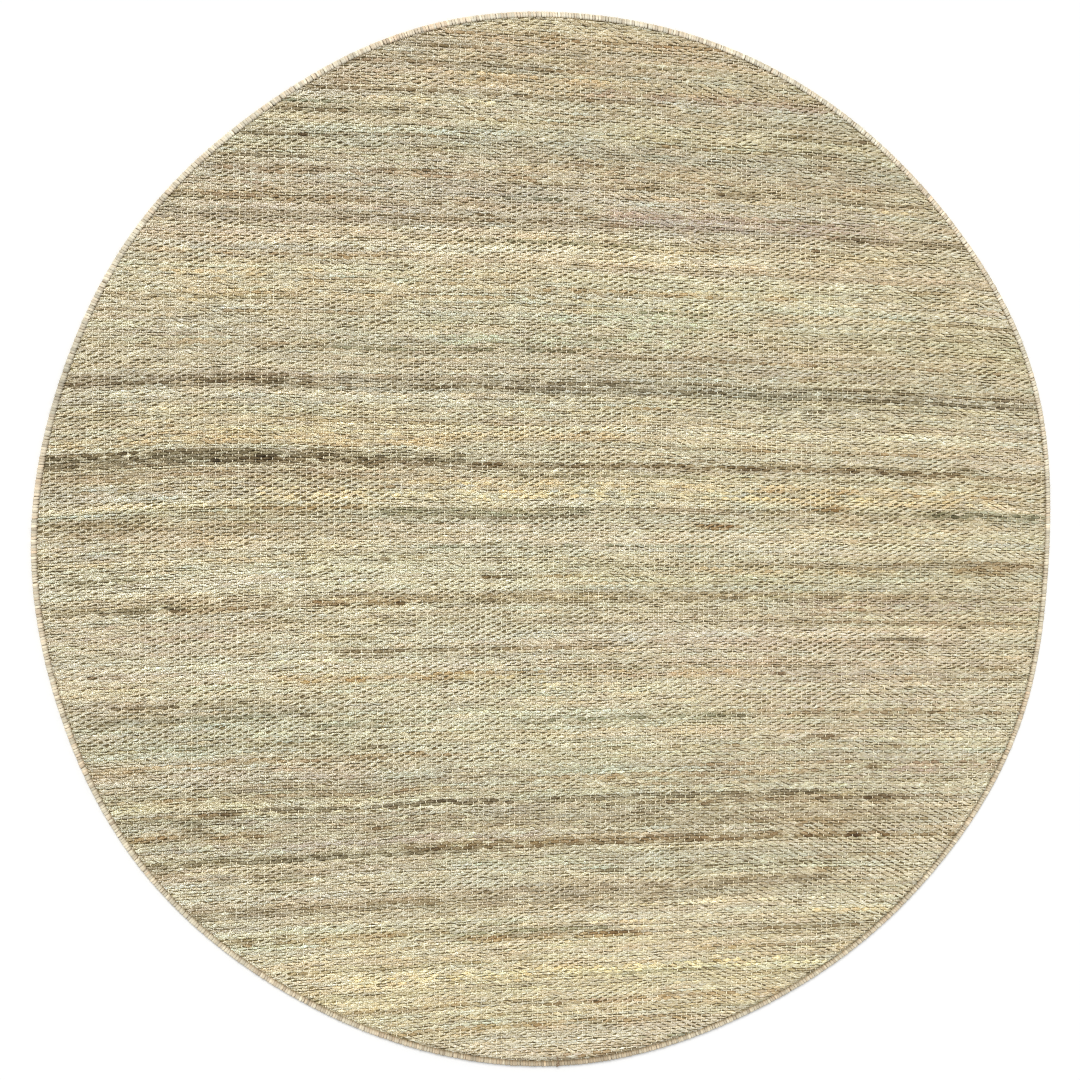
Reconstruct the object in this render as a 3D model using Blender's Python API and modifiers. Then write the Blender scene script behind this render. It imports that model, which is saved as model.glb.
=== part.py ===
"""Round flat-woven jute rug with an overcast edge, modelled in metres with +Z up.

The rug lies flat on Z = 0. Its weft runs along X and its warp along Y. The woven field is one disc
whose rim is pinched thinner, and the edge binding is a ring of C-shaped section that hugs that rim
from above, outside and below. Both are turned from a half section and then share one slow wander of
the radius, because a round cut by hand is never a true circle.
"""

import math
from typing import NamedTuple

import bpy


class SectionPoint(NamedTuple):
    """A corner of a half section."""

    inset: float  # distance in from the rug's nominal outer radius
    height: float  # above the floor


class Wave(NamedTuple):
    """One slow wave of the outline."""

    count: int  # waves round the rug
    reach: float  # how far it pushes the edge in and out
    turn: float  # direction of its first crest, degrees from +X


# Rug
RUG_RADIUS = 0.900
SEGMENTS = 168  # flat facets round the rug
AXIS = RUG_RADIUS  # inset of the rug's own middle

# Woven field
FIELD_THICKNESS = 0.0070
SHOULDER_WIDTH = 0.0070  # strip along the binding where the field thins down
SHOULDER_DROP = 0.0005

# Edge binding, worked in yarn over the cut edge
BINDING_WIDTH = 0.0090
BINDING_HEIGHT = 0.0078
BINDING_WALL = 0.0015  # yarn above and below the rim
BINDING_OUTER_WALL = 0.0025  # yarn outside the rim
BINDING_CORNER = 0.0022  # how far the outer side is rounded in
GAP = 0.0003  # air between field and binding

# How the hand-cut outline strays from a circle
WANDER = (
    Wave(count=3, reach=0.0007, turn=-15),
    Wave(count=4, reach=0.0015, turn=10),
    Wave(count=5, reach=0.0020, turn=36),
    Wave(count=6, reach=0.0029, turn=29),
    Wave(count=7, reach=0.0016, turn=18),
    Wave(count=8, reach=0.0009, turn=19),
    Wave(count=9, reach=0.0017, turn=22),
    Wave(count=11, reach=0.0008, turn=14),
)


def rim_heights() -> tuple[float, float]:
    """Bottom and top of the slot inside the binding."""
    return BINDING_WALL, BINDING_HEIGHT - BINDING_WALL


def field_section() -> list[SectionPoint]:
    """Half section of the field, from the middle of its top round to the middle of its underside."""
    slot_bottom, slot_top = rim_heights()
    shoulder = BINDING_WIDTH + GAP
    rim = BINDING_OUTER_WALL + GAP
    return [
        SectionPoint(AXIS, FIELD_THICKNESS),
        SectionPoint(AXIS / 2, FIELD_THICKNESS),
        SectionPoint(shoulder + SHOULDER_WIDTH, FIELD_THICKNESS),
        SectionPoint(shoulder, FIELD_THICKNESS - SHOULDER_DROP),
        SectionPoint(shoulder, slot_top - GAP),
        SectionPoint(rim, slot_top - GAP),
        SectionPoint(rim, slot_bottom + GAP),
        SectionPoint(shoulder, slot_bottom + GAP),
        SectionPoint(shoulder, 0.0),
        SectionPoint(AXIS / 2, 0.0),
        SectionPoint(AXIS, 0.0),
    ]


def binding_section() -> list[SectionPoint]:
    """Closed C-shaped section of the binding, down its rounded outer side and back up its slot."""
    slot_bottom, slot_top = rim_heights()
    middle = BINDING_HEIGHT / 2
    low_crown = BINDING_HEIGHT - SHOULDER_DROP
    return [
        SectionPoint(BINDING_WIDTH, low_crown),
        SectionPoint(BINDING_WIDTH * 0.72, BINDING_HEIGHT),
        SectionPoint(BINDING_CORNER * 1.2, BINDING_HEIGHT),
        SectionPoint(BINDING_CORNER * 0.45, BINDING_HEIGHT - BINDING_CORNER * 0.45),
        SectionPoint(0.0, middle + BINDING_CORNER * 0.5),
        SectionPoint(0.0, middle - BINDING_CORNER * 0.5),
        SectionPoint(BINDING_CORNER * 0.35, BINDING_CORNER * 0.35),
        SectionPoint(BINDING_CORNER, 0.0),
        SectionPoint(BINDING_WIDTH, 0.0),
        SectionPoint(BINDING_WIDTH, slot_bottom),
        SectionPoint(BINDING_OUTER_WALL, slot_bottom),
        SectionPoint(BINDING_OUTER_WALL, slot_top),
        SectionPoint(BINDING_WIDTH, slot_top),
    ]


def wander(angle: float) -> float:
    """How far the outline lies outside its circle in one direction, in metres."""
    return sum(w.reach * math.cos(w.count * (angle - math.radians(w.turn))) for w in WANDER)


def outline_middle() -> tuple[float, float]:
    """Middle of the box round the wandering outline."""
    angles = [2 * math.pi * step / SEGMENTS for step in range(SEGMENTS)]
    xs = [(RUG_RADIUS + wander(angle)) * math.cos(angle) for angle in angles]
    ys = [(RUG_RADIUS + wander(angle)) * math.sin(angle) for angle in angles]
    return (min(xs) + max(xs)) / 2, (min(ys) + max(ys)) / 2


def profile_mesh(name: str, section: list[SectionPoint], closed: bool) -> bpy.types.Mesh:
    """The half section as a chain of edges in the XZ plane, out along +X."""
    points = [(RUG_RADIUS - corner.inset, 0.0, corner.height) for corner in section]
    edges = [(i, i + 1) for i in range(len(points) - 1)]
    if closed:
        edges.append((len(points) - 1, 0))
    mesh = bpy.data.meshes.new(name)
    mesh.from_pydata(points, edges, [])
    return mesh


def turned(name: str, section: list[SectionPoint], closed: bool) -> bpy.types.Object:
    """Turns a half section round Z into a closed solid."""
    piece = bpy.data.objects.new(name, profile_mesh(name, section, closed))
    bpy.context.scene.collection.objects.link(piece)
    screw = piece.modifiers.new("turn round Z", "SCREW")
    screw.axis = "Z"
    screw.steps = screw.render_steps = SEGMENTS
    screw.use_merge_vertices = True
    screw.merge_threshold = 0.00005
    graph = bpy.context.evaluated_depsgraph_get()
    solid = bpy.data.meshes.new_from_object(piece.evaluated_get(graph))
    piece.modifiers.clear()
    piece.data = solid
    solid.name = name
    return piece


def let_wander(piece: bpy.types.Object) -> None:
    """Pushes each ring of corners in and out with the outline, and centres the rug on the origin."""
    middle_x, middle_y = outline_middle()
    for vertex in piece.data.vertices:
        angle = math.atan2(vertex.co.y, vertex.co.x)
        stretch = 1 + wander(angle) / RUG_RADIUS
        vertex.co.x = vertex.co.x * stretch - middle_x
        vertex.co.y = vertex.co.y * stretch - middle_y


def shade(piece: bpy.types.Object, sharp_above: float) -> None:
    """Shades a piece smooth, keeping edges that turn by more than sharp_above degrees crisp."""
    for face in piece.data.polygons:
        face.use_smooth = True
    piece.data.set_sharp_from_angle(angle=math.radians(sharp_above))


def matte(name: str, colour: tuple[float, float, float], roughness: float) -> bpy.types.Material:
    """A plain fibre material."""
    material = bpy.data.materials.new(name)
    material.use_nodes = True
    material.diffuse_color = (*colour, 1.0)
    shader = material.node_tree.nodes["Principled BSDF"]
    shader.inputs["Base Color"].default_value = (*colour, 1.0)
    shader.inputs["Roughness"].default_value = roughness
    shader.inputs["Metallic"].default_value = 0.0
    return material


def make_field() -> bpy.types.Object:
    """The woven disc."""
    field = turned("rug_field", field_section(), closed=False)
    let_wander(field)
    shade(field, sharp_above=30)
    field.data.materials.append(matte("jute_weave", (0.521, 0.456, 0.301), roughness=0.95))
    return field


def make_binding() -> bpy.types.Object:
    """The overcast ring round the disc's rim."""
    binding = turned("edge_binding", binding_section(), closed=True)
    let_wander(binding)
    shade(binding, sharp_above=60)
    binding.data.materials.append(matte("binding_yarn", (0.640, 0.550, 0.400), roughness=0.90))
    return binding


def main() -> None:
    """Clears the scene and builds the rug in its own collection."""
    for old in list(bpy.data.objects):
        bpy.data.objects.remove(old, do_unlink=True)
    collection = bpy.data.collections.new("round_jute_rug")
    bpy.context.scene.collection.children.link(collection)
    for piece in (make_field(), make_binding()):
        bpy.context.scene.collection.objects.unlink(piece)
        collection.objects.link(piece)


main()
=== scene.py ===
"""Dresses the round jute rug: its woven yarns, overcast edge and stray fibres, and lights and frames it.

Lengths are in metres in the CAD frame, with +X along the weft, +Y along the warp and +Z up off the floor.
The cloth is a plain weave. Thick jute weft runs along X in about 400 rows and hides most of the thin cotton
warp, which shows as short cream dashes where it crosses over the weft. All rows share the same places along
X, called stations: one on each warp and two between it and the next.
"""

import logging
import math
from dataclasses import dataclass, field
from enum import Enum
from typing import NamedTuple

import bpy
import numpy as np
from mathutils import Matrix, Vector


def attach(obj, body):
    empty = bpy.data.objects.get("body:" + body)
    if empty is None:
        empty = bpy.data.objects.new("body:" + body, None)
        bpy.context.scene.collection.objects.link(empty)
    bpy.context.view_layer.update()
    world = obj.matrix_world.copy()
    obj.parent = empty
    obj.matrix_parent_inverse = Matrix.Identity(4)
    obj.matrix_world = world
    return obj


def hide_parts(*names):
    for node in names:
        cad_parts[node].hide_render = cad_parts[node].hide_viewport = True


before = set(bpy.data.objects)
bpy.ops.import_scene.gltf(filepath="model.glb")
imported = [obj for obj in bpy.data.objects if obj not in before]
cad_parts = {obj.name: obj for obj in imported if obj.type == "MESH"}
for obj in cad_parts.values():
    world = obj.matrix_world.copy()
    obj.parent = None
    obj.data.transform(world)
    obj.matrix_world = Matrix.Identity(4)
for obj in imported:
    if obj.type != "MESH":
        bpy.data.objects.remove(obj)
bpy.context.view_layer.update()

LOG = logging.getLogger("jute_rug")
BODY = "root"
MM = 0.001
FULL_TURN = 2 * math.pi

Array = np.ndarray
Colour = tuple[float, float, float]  # red, green and blue, in linear light
Cell = tuple[float, float, float]  # lengths along X, Y and Z
Span = tuple[float, float]  # where something starts and ends
Socket = bpy.types.NodeSocket
Material = bpy.types.Material

PLAIN_JUTE: Colour = (0.648, 0.590, 0.430)  # weft without any streak
GROOVE_DEPTH = 1.5 * MM  # how far the binding pulls the cloth down beside it
GROOVE_INSET = 10.1 * MM  # where that groove runs, in from the outer edge


class Dye(Enum):
    """How a streak shifts the plain jute colour: red, green and blue factors at full strength."""

    CHARCOAL = (0.385, 0.345, 0.27)
    UMBER = (0.44, 0.365, 0.27)
    BROWN = (0.64, 0.52, 0.385)
    TAN = (1.08, 0.95, 0.79)
    OLIVE = (0.585, 0.535, 0.44)
    MOSS = (0.45, 0.46, 0.385)
    GREY = (0.635, 0.595, 0.545)
    MAUVE = (0.885, 0.815, 0.855)
    CREAM = (1.30, 1.32, 1.30)
    STRAW = (1.28, 1.21, 1.05)
    SAGE = (1.00, 1.07, 1.05)


class Streak(NamedTuple):
    """A run of weft in another tone that stands out on the rug."""

    y: float  # height up the rug, at the middle of the run
    left: float  # where it starts along X
    right: float  # where it ends
    rows: float  # how many weft rows it takes
    strength: float  # share of the dye, 1 is all of it
    dye: Dye


# Columns: y, left, right, rows, strength, dye
UPPER_STREAKS = (
    Streak(0.884, -0.02, 0.10, 1.2, 0.7, Dye.BROWN),
    Streak(0.856, -0.25, 0.30, 1.3, 0.7, Dye.BROWN),
    Streak(0.862, -0.12, 0.00, 2.0, 0.6, Dye.BROWN),
    Streak(0.836, -0.36, -0.12, 1.0, 0.6, Dye.OLIVE),
    Streak(0.820, -0.10, 0.22, 1.0, 0.8, Dye.OLIVE),
    Streak(0.807, -0.42, 0.02, 1.3, 0.7, Dye.OLIVE),
    Streak(0.791, -0.32, 0.30, 1.6, 0.8, Dye.STRAW),
    Streak(0.781, -0.22, -0.10, 1.5, 0.8, Dye.BROWN),
    Streak(0.769, 0.00, 0.50, 4.0, 0.9, Dye.MAUVE),
    Streak(0.771, -0.10, 0.50, 1.2, 0.5, Dye.GREY),
    Streak(0.768, -0.50, -0.34, 2.2, 0.8, Dye.GREY),
    Streak(0.760, -0.49, 0.16, 1.5, 0.8, Dye.UMBER),
    Streak(0.745, -0.32, -0.10, 2.0, 0.7, Dye.STRAW),
    Streak(0.733, -0.54, -0.38, 1.2, 0.8, Dye.MOSS),
    Streak(0.735, 0.00, 0.54, 1.3, 0.7, Dye.OLIVE),
    Streak(0.719, -0.58, -0.24, 1.8, 0.9, Dye.UMBER),
    Streak(0.718, -0.26, 0.06, 1.0, 0.8, Dye.BROWN),
    Streak(0.713, 0.33, 0.57, 1.8, 0.8, Dye.UMBER),
    Streak(0.694, 0.02, 0.42, 1.2, 0.9, Dye.STRAW),
    Streak(0.687, 0.12, 0.38, 1.3, 0.9, Dye.BROWN),
    Streak(0.681, 0.34, 0.58, 1.4, 0.9, Dye.UMBER),
    Streak(0.676, -0.60, -0.36, 1.4, 0.9, Dye.UMBER),
    Streak(0.675, -0.51, -0.44, 1.8, 0.9, Dye.UMBER),
    Streak(0.685, -0.40, -0.16, 1.1, 0.6, Dye.BROWN),
    Streak(0.664, -0.32, -0.19, 1.2, 0.7, Dye.OLIVE),
    Streak(0.650, -0.10, 0.14, 1.2, 0.6, Dye.BROWN),
    Streak(0.646, 0.00, 0.05, 2.6, 0.8, Dye.UMBER),
    Streak(0.640, -0.64, -0.42, 1.1, 0.9, Dye.CHARCOAL),
    Streak(0.621, -0.62, -0.06, 3.2, 0.6, Dye.BROWN),
    Streak(0.612, -0.14, 0.34, 1.4, 1.0, Dye.OLIVE),
    Streak(0.609, 0.22, 0.67, 2.4, 0.7, Dye.OLIVE),
    Streak(0.599, 0.00, 0.64, 1.6, 0.8, Dye.STRAW),
    Streak(0.589, -0.18, 0.00, 1.2, 0.9, Dye.MOSS),
    Streak(0.571, -0.70, -0.36, 3.0, 0.7, Dye.BROWN),
    Streak(0.575, -0.40, 0.04, 1.6, 0.5, Dye.BROWN),
    Streak(0.557, -0.19, -0.14, 1.2, 0.9, Dye.UMBER),
    Streak(0.561, -0.03, 0.08, 1.6, 0.8, Dye.BROWN),
    Streak(0.560, 0.04, 0.60, 7.0, 0.9, Dye.MAUVE),
    Streak(0.566, 0.10, 0.52, 1.3, 0.5, Dye.GREY),
    Streak(0.551, -0.34, 0.12, 1.2, 0.6, Dye.UMBER),
    Streak(0.545, -0.74, -0.34, 5.0, 0.5, Dye.GREY),
    Streak(0.541, 0.47, 0.53, 2.2, 0.9, Dye.CHARCOAL),
    Streak(0.536, 0.44, 0.74, 1.4, 0.9, Dye.UMBER),
    Streak(0.517, -0.24, 0.16, 1.2, 0.9, Dye.MOSS),
    Streak(0.521, 0.20, 0.56, 1.0, 0.5, Dye.GREY),
    Streak(0.495, -0.34, 0.34, 3.6, 0.8, Dye.CREAM),
    Streak(0.487, -0.74, -0.58, 1.5, 1.0, Dye.CREAM),
    Streak(0.481, -0.74, -0.25, 1.2, 0.7, Dye.BROWN),
    Streak(0.453, 0.58, 0.72, 1.2, 0.9, Dye.UMBER),
    Streak(0.447, -0.76, -0.40, 3.0, 0.7, Dye.TAN),
    Streak(0.434, -0.10, 0.42, 1.7, 0.8, Dye.BROWN),
    Streak(0.441, -0.66, -0.10, 1.2, 0.5, Dye.BROWN),
    Streak(0.418, -0.62, 0.10, 1.3, 0.6, Dye.BROWN),
    Streak(0.417, 0.44, 0.50, 1.0, 0.9, Dye.CHARCOAL),
    Streak(0.407, -0.82, -0.42, 1.8, 0.8, Dye.OLIVE),
    Streak(0.408, -0.44, 0.12, 1.0, 0.6, Dye.OLIVE),
    Streak(0.402, 0.08, 0.27, 1.2, 0.9, Dye.MOSS),
    Streak(0.400, -0.84, -0.58, 1.2, 0.7, Dye.STRAW),
    Streak(0.393, -0.06, 0.27, 4.6, 0.9, Dye.SAGE),
    Streak(0.397, 0.58, 0.83, 1.2, 0.8, Dye.UMBER),
    Streak(0.385, -0.82, -0.32, 1.1, 0.7, Dye.BROWN),
    Streak(0.374, 0.10, 0.84, 1.1, 0.5, Dye.OLIVE),
    Streak(0.359, -0.84, -0.62, 1.8, 0.8, Dye.CREAM),
    Streak(0.350, -0.24, 0.20, 4.6, 0.9, Dye.SAGE),
    Streak(0.332, -0.48, 0.04, 1.5, 0.9, Dye.MOSS),
    Streak(0.326, -0.54, -0.48, 1.2, 0.9, Dye.UMBER),
    Streak(0.334, -0.84, -0.40, 3.0, 0.4, Dye.BROWN),
    Streak(0.344, 0.28, 0.85, 1.6, 0.7, Dye.OLIVE),
    Streak(0.325, 0.00, 0.34, 1.8, 0.7, Dye.UMBER),
    Streak(0.318, 0.30, 0.86, 1.0, 0.5, Dye.BROWN),
)
MIDDLE_STREAKS = (
    Streak(0.294, 0.10, 0.86, 1.2, 0.5, Dye.BROWN),
    Streak(0.285, -0.62, 0.62, 1.2, 0.6, Dye.OLIVE),
    Streak(0.271, -0.88, 0.88, 6.0, 0.60, Dye.GREY),
    Streak(0.277, -0.74, -0.40, 1.4, 1.0, Dye.CHARCOAL),
    Streak(0.267, -0.88, -0.44, 1.4, 0.9, Dye.CHARCOAL),
    Streak(0.278, -0.16, 0.10, 1.3, 0.8, Dye.CHARCOAL),
    Streak(0.269, -0.30, 0.46, 1.3, 0.7, Dye.CHARCOAL),
    Streak(0.262, 0.14, 0.62, 1.3, 0.7, Dye.OLIVE),
    Streak(0.258, 0.50, 0.88, 1.5, 0.75, Dye.CHARCOAL),
    Streak(0.269, 0.56, 0.88, 1.2, 0.5, Dye.UMBER),
    Streak(0.252, -0.82, 0.55, 1.6, 0.8, Dye.CREAM),
    Streak(0.247, 0.48, 0.82, 1.2, 0.6, Dye.CREAM),
    Streak(0.240, 0.39, 0.49, 1.2, 0.9, Dye.CHARCOAL),
    Streak(0.238, 0.00, 0.24, 1.0, 0.6, Dye.BROWN),
    Streak(0.220, -0.48, -0.44, 1.2, 0.9, Dye.UMBER),
    Streak(0.208, -0.54, 0.00, 1.1, 0.6, Dye.OLIVE),
    Streak(0.202, -0.46, 0.12, 1.2, 0.8, Dye.CREAM),
    Streak(0.180, -0.88, -0.20, 3.4, 0.7, Dye.TAN),
    Streak(0.170, -0.86, -0.36, 1.2, 0.6, Dye.BROWN),
    Streak(0.163, -0.49, -0.36, 1.1, 0.9, Dye.CHARCOAL),
    Streak(0.166, 0.12, 0.66, 1.3, 0.7, Dye.BROWN),
    Streak(0.166, 0.41, 0.46, 1.0, 0.9, Dye.CHARCOAL),
    Streak(0.144, -0.90, -0.48, 5.4, 1.00, Dye.CHARCOAL),
    Streak(0.150, -0.88, -0.60, 1.0, 0.35, Dye.CHARCOAL),
    Streak(0.133, -0.90, -0.56, 1.0, 0.60, Dye.CHARCOAL),
    Streak(0.152, -0.50, -0.30, 1.0, 0.80, Dye.CHARCOAL),
    Streak(0.190, -0.72, 0.10, 3.6, 0.45, Dye.TAN),
    Streak(0.099, -0.20, 0.90, 3.0, 0.50, Dye.TAN),
    Streak(0.157, -0.90, -0.22, 1.5, 0.50, Dye.CHARCOAL),
    Streak(0.148, -0.56, -0.16, 1.6, 0.90, Dye.CHARCOAL),
    Streak(0.140, -0.64, -0.10, 2.8, 0.95, Dye.UMBER),
    Streak(0.156, -0.24, 0.04, 1.1, 0.7, Dye.CHARCOAL),
    Streak(0.157, -0.22, -0.17, 1.5, 0.9, Dye.CHARCOAL),
    Streak(0.140, -0.18, 0.36, 2.4, 0.95, Dye.UMBER),
    Streak(0.141, 0.11, 0.18, 1.6, 0.7, Dye.CHARCOAL),
    Streak(0.124, -0.12, 0.26, 1.3, 0.8, Dye.MOSS),
    Streak(0.151, 0.20, 0.26, 1.2, 0.9, Dye.CHARCOAL),
    Streak(0.135, 0.26, 0.74, 1.8, 0.8, Dye.UMBER),
    Streak(0.144, 0.30, 0.68, 1.4, 0.70, Dye.CHARCOAL),
    Streak(0.140, 0.68, 0.76, 1.6, 1.1, Dye.CHARCOAL),
    Streak(0.128, 0.46, 0.89, 1.5, 0.9, Dye.UMBER),
    Streak(0.116, 0.28, 0.89, 1.2, 0.6, Dye.UMBER),
    Streak(0.129, -0.40, 0.10, 1.0, 0.7, Dye.CREAM),
    Streak(0.124, -0.90, -0.34, 2.2, 0.40, Dye.UMBER),
    Streak(0.115, -0.84, -0.20, 1.2, 0.5, Dye.UMBER),
    Streak(0.108, -0.34, 0.02, 3.0, 0.6, Dye.TAN),
    Streak(0.088, -0.56, 0.12, 3.6, 0.8, Dye.STRAW),
    Streak(0.092, -0.88, -0.56, 1.2, 0.5, Dye.BROWN),
    Streak(0.083, 0.16, 0.88, 2.8, 0.8, Dye.STRAW),
    Streak(0.092, 0.30, 0.88, 1.1, 0.5, Dye.BROWN),
    Streak(0.062, -0.90, -0.58, 2.0, 1.0, Dye.CREAM),
    Streak(0.066, -0.64, -0.34, 1.4, 1.0, Dye.BROWN),
    Streak(0.054, -0.76, -0.40, 1.1, 0.6, Dye.BROWN),
    Streak(0.059, -0.36, 0.06, 2.6, 0.8, Dye.MOSS),
    Streak(0.051, -0.30, 0.04, 1.2, 0.7, Dye.CHARCOAL),
    Streak(0.061, 0.02, 0.50, 1.2, 0.8, Dye.OLIVE),
    Streak(0.068, 0.40, 0.51, 2.2, 1.8, Dye.BROWN),
    Streak(0.056, 0.64, 0.90, 2.8, 1.1, Dye.MOSS),
    Streak(0.059, 0.44, 0.76, 1.6, 0.8, Dye.MOSS),
    Streak(0.036, -0.89, -0.70, 1.6, 0.7, Dye.UMBER),
    Streak(0.026, -0.88, -0.30, 6.0, 0.30, Dye.BROWN),
    Streak(0.036, 0.20, 0.31, 2.0, 1.8, Dye.BROWN),
    Streak(0.028, 0.53, 0.61, 1.5, 0.7, Dye.GREY),
    Streak(0.003, -0.30, 0.30, 1.4, 0.6, Dye.MOSS),
    Streak(-0.016, -0.31, -0.25, 1.2, 0.8, Dye.BROWN),
    Streak(-0.050, -0.19, 0.14, 1.2, 0.7, Dye.BROWN),
    Streak(-0.050, -0.18, -0.12, 1.6, 0.9, Dye.UMBER),
    Streak(-0.034, -0.04, 0.60, 1.1, 0.7, Dye.OLIVE),
    Streak(-0.044, 0.69, 0.84, 3.8, 1.1, Dye.BROWN),
    Streak(-0.031, 0.56, 0.90, 1.7, 0.8, Dye.BROWN),
    Streak(-0.042, 0.20, 0.62, 3.0, 0.7, Dye.TAN),
    Streak(-0.056, -0.88, -0.70, 1.5, 0.8, Dye.CHARCOAL),
    Streak(-0.081, -0.72, 0.52, 1.3, 0.6, Dye.OLIVE),
    Streak(-0.106, -0.90, -0.64, 2.4, 0.9, Dye.CHARCOAL),
    Streak(-0.098, -0.70, -0.28, 1.6, 0.9, Dye.UMBER),
    Streak(-0.092, -0.46, -0.27, 1.8, 0.9, Dye.BROWN),
    Streak(-0.089, -0.32, 0.52, 2.2, 0.75, Dye.CHARCOAL),
    Streak(-0.093, 0.48, 0.89, 1.6, 0.7, Dye.CHARCOAL),
    Streak(-0.102, -0.62, -0.28, 1.2, 0.7, Dye.CREAM),
    Streak(-0.104, 0.40, 0.88, 5.0, 0.9, Dye.MAUVE),
    Streak(-0.122, -0.60, 0.06, 1.2, 0.6, Dye.OLIVE),
    Streak(-0.121, 0.20, 0.88, 1.2, 0.6, Dye.GREY),
    Streak(-0.134, 0.34, 0.88, 1.1, 0.6, Dye.BROWN),
    Streak(-0.150, -0.87, -0.44, 12.0, 0.8, Dye.MAUVE),
    Streak(-0.152, -0.46, -0.33, 2.0, 0.7, Dye.BROWN),
    Streak(-0.165, 0.56, 0.67, 1.5, 0.9, Dye.CHARCOAL),
    Streak(-0.176, -0.42, 0.08, 1.3, 0.9, Dye.UMBER),
    Streak(-0.192, -0.76, -0.38, 1.5, 0.8, Dye.CREAM),
    Streak(-0.212, -0.85, -0.73, 1.7, 0.9, Dye.UMBER),
    Streak(-0.207, 0.00, 0.54, 1.3, 0.7, Dye.OLIVE),
    Streak(-0.221, 0.72, 0.85, 1.7, 0.9, Dye.UMBER),
    Streak(-0.226, -0.48, -0.18, 1.3, 0.9, Dye.BROWN),
    Streak(-0.219, -0.52, 0.32, 3.0, 0.8, Dye.TAN),
    Streak(-0.213, -0.32, -0.04, 1.0, 0.7, Dye.BROWN),
    Streak(-0.236, -0.12, 0.30, 1.3, 0.8, Dye.CREAM),
    Streak(-0.242, 0.58, 0.86, 1.1, 0.6, Dye.BROWN),
    Streak(-0.266, -0.84, -0.38, 5.0, 0.5, Dye.GREY),
    Streak(-0.262, -0.78, -0.54, 1.2, 0.6, Dye.CHARCOAL),
    Streak(-0.285, -0.84, -0.42, 1.5, 0.8, Dye.CHARCOAL),
)
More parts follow.
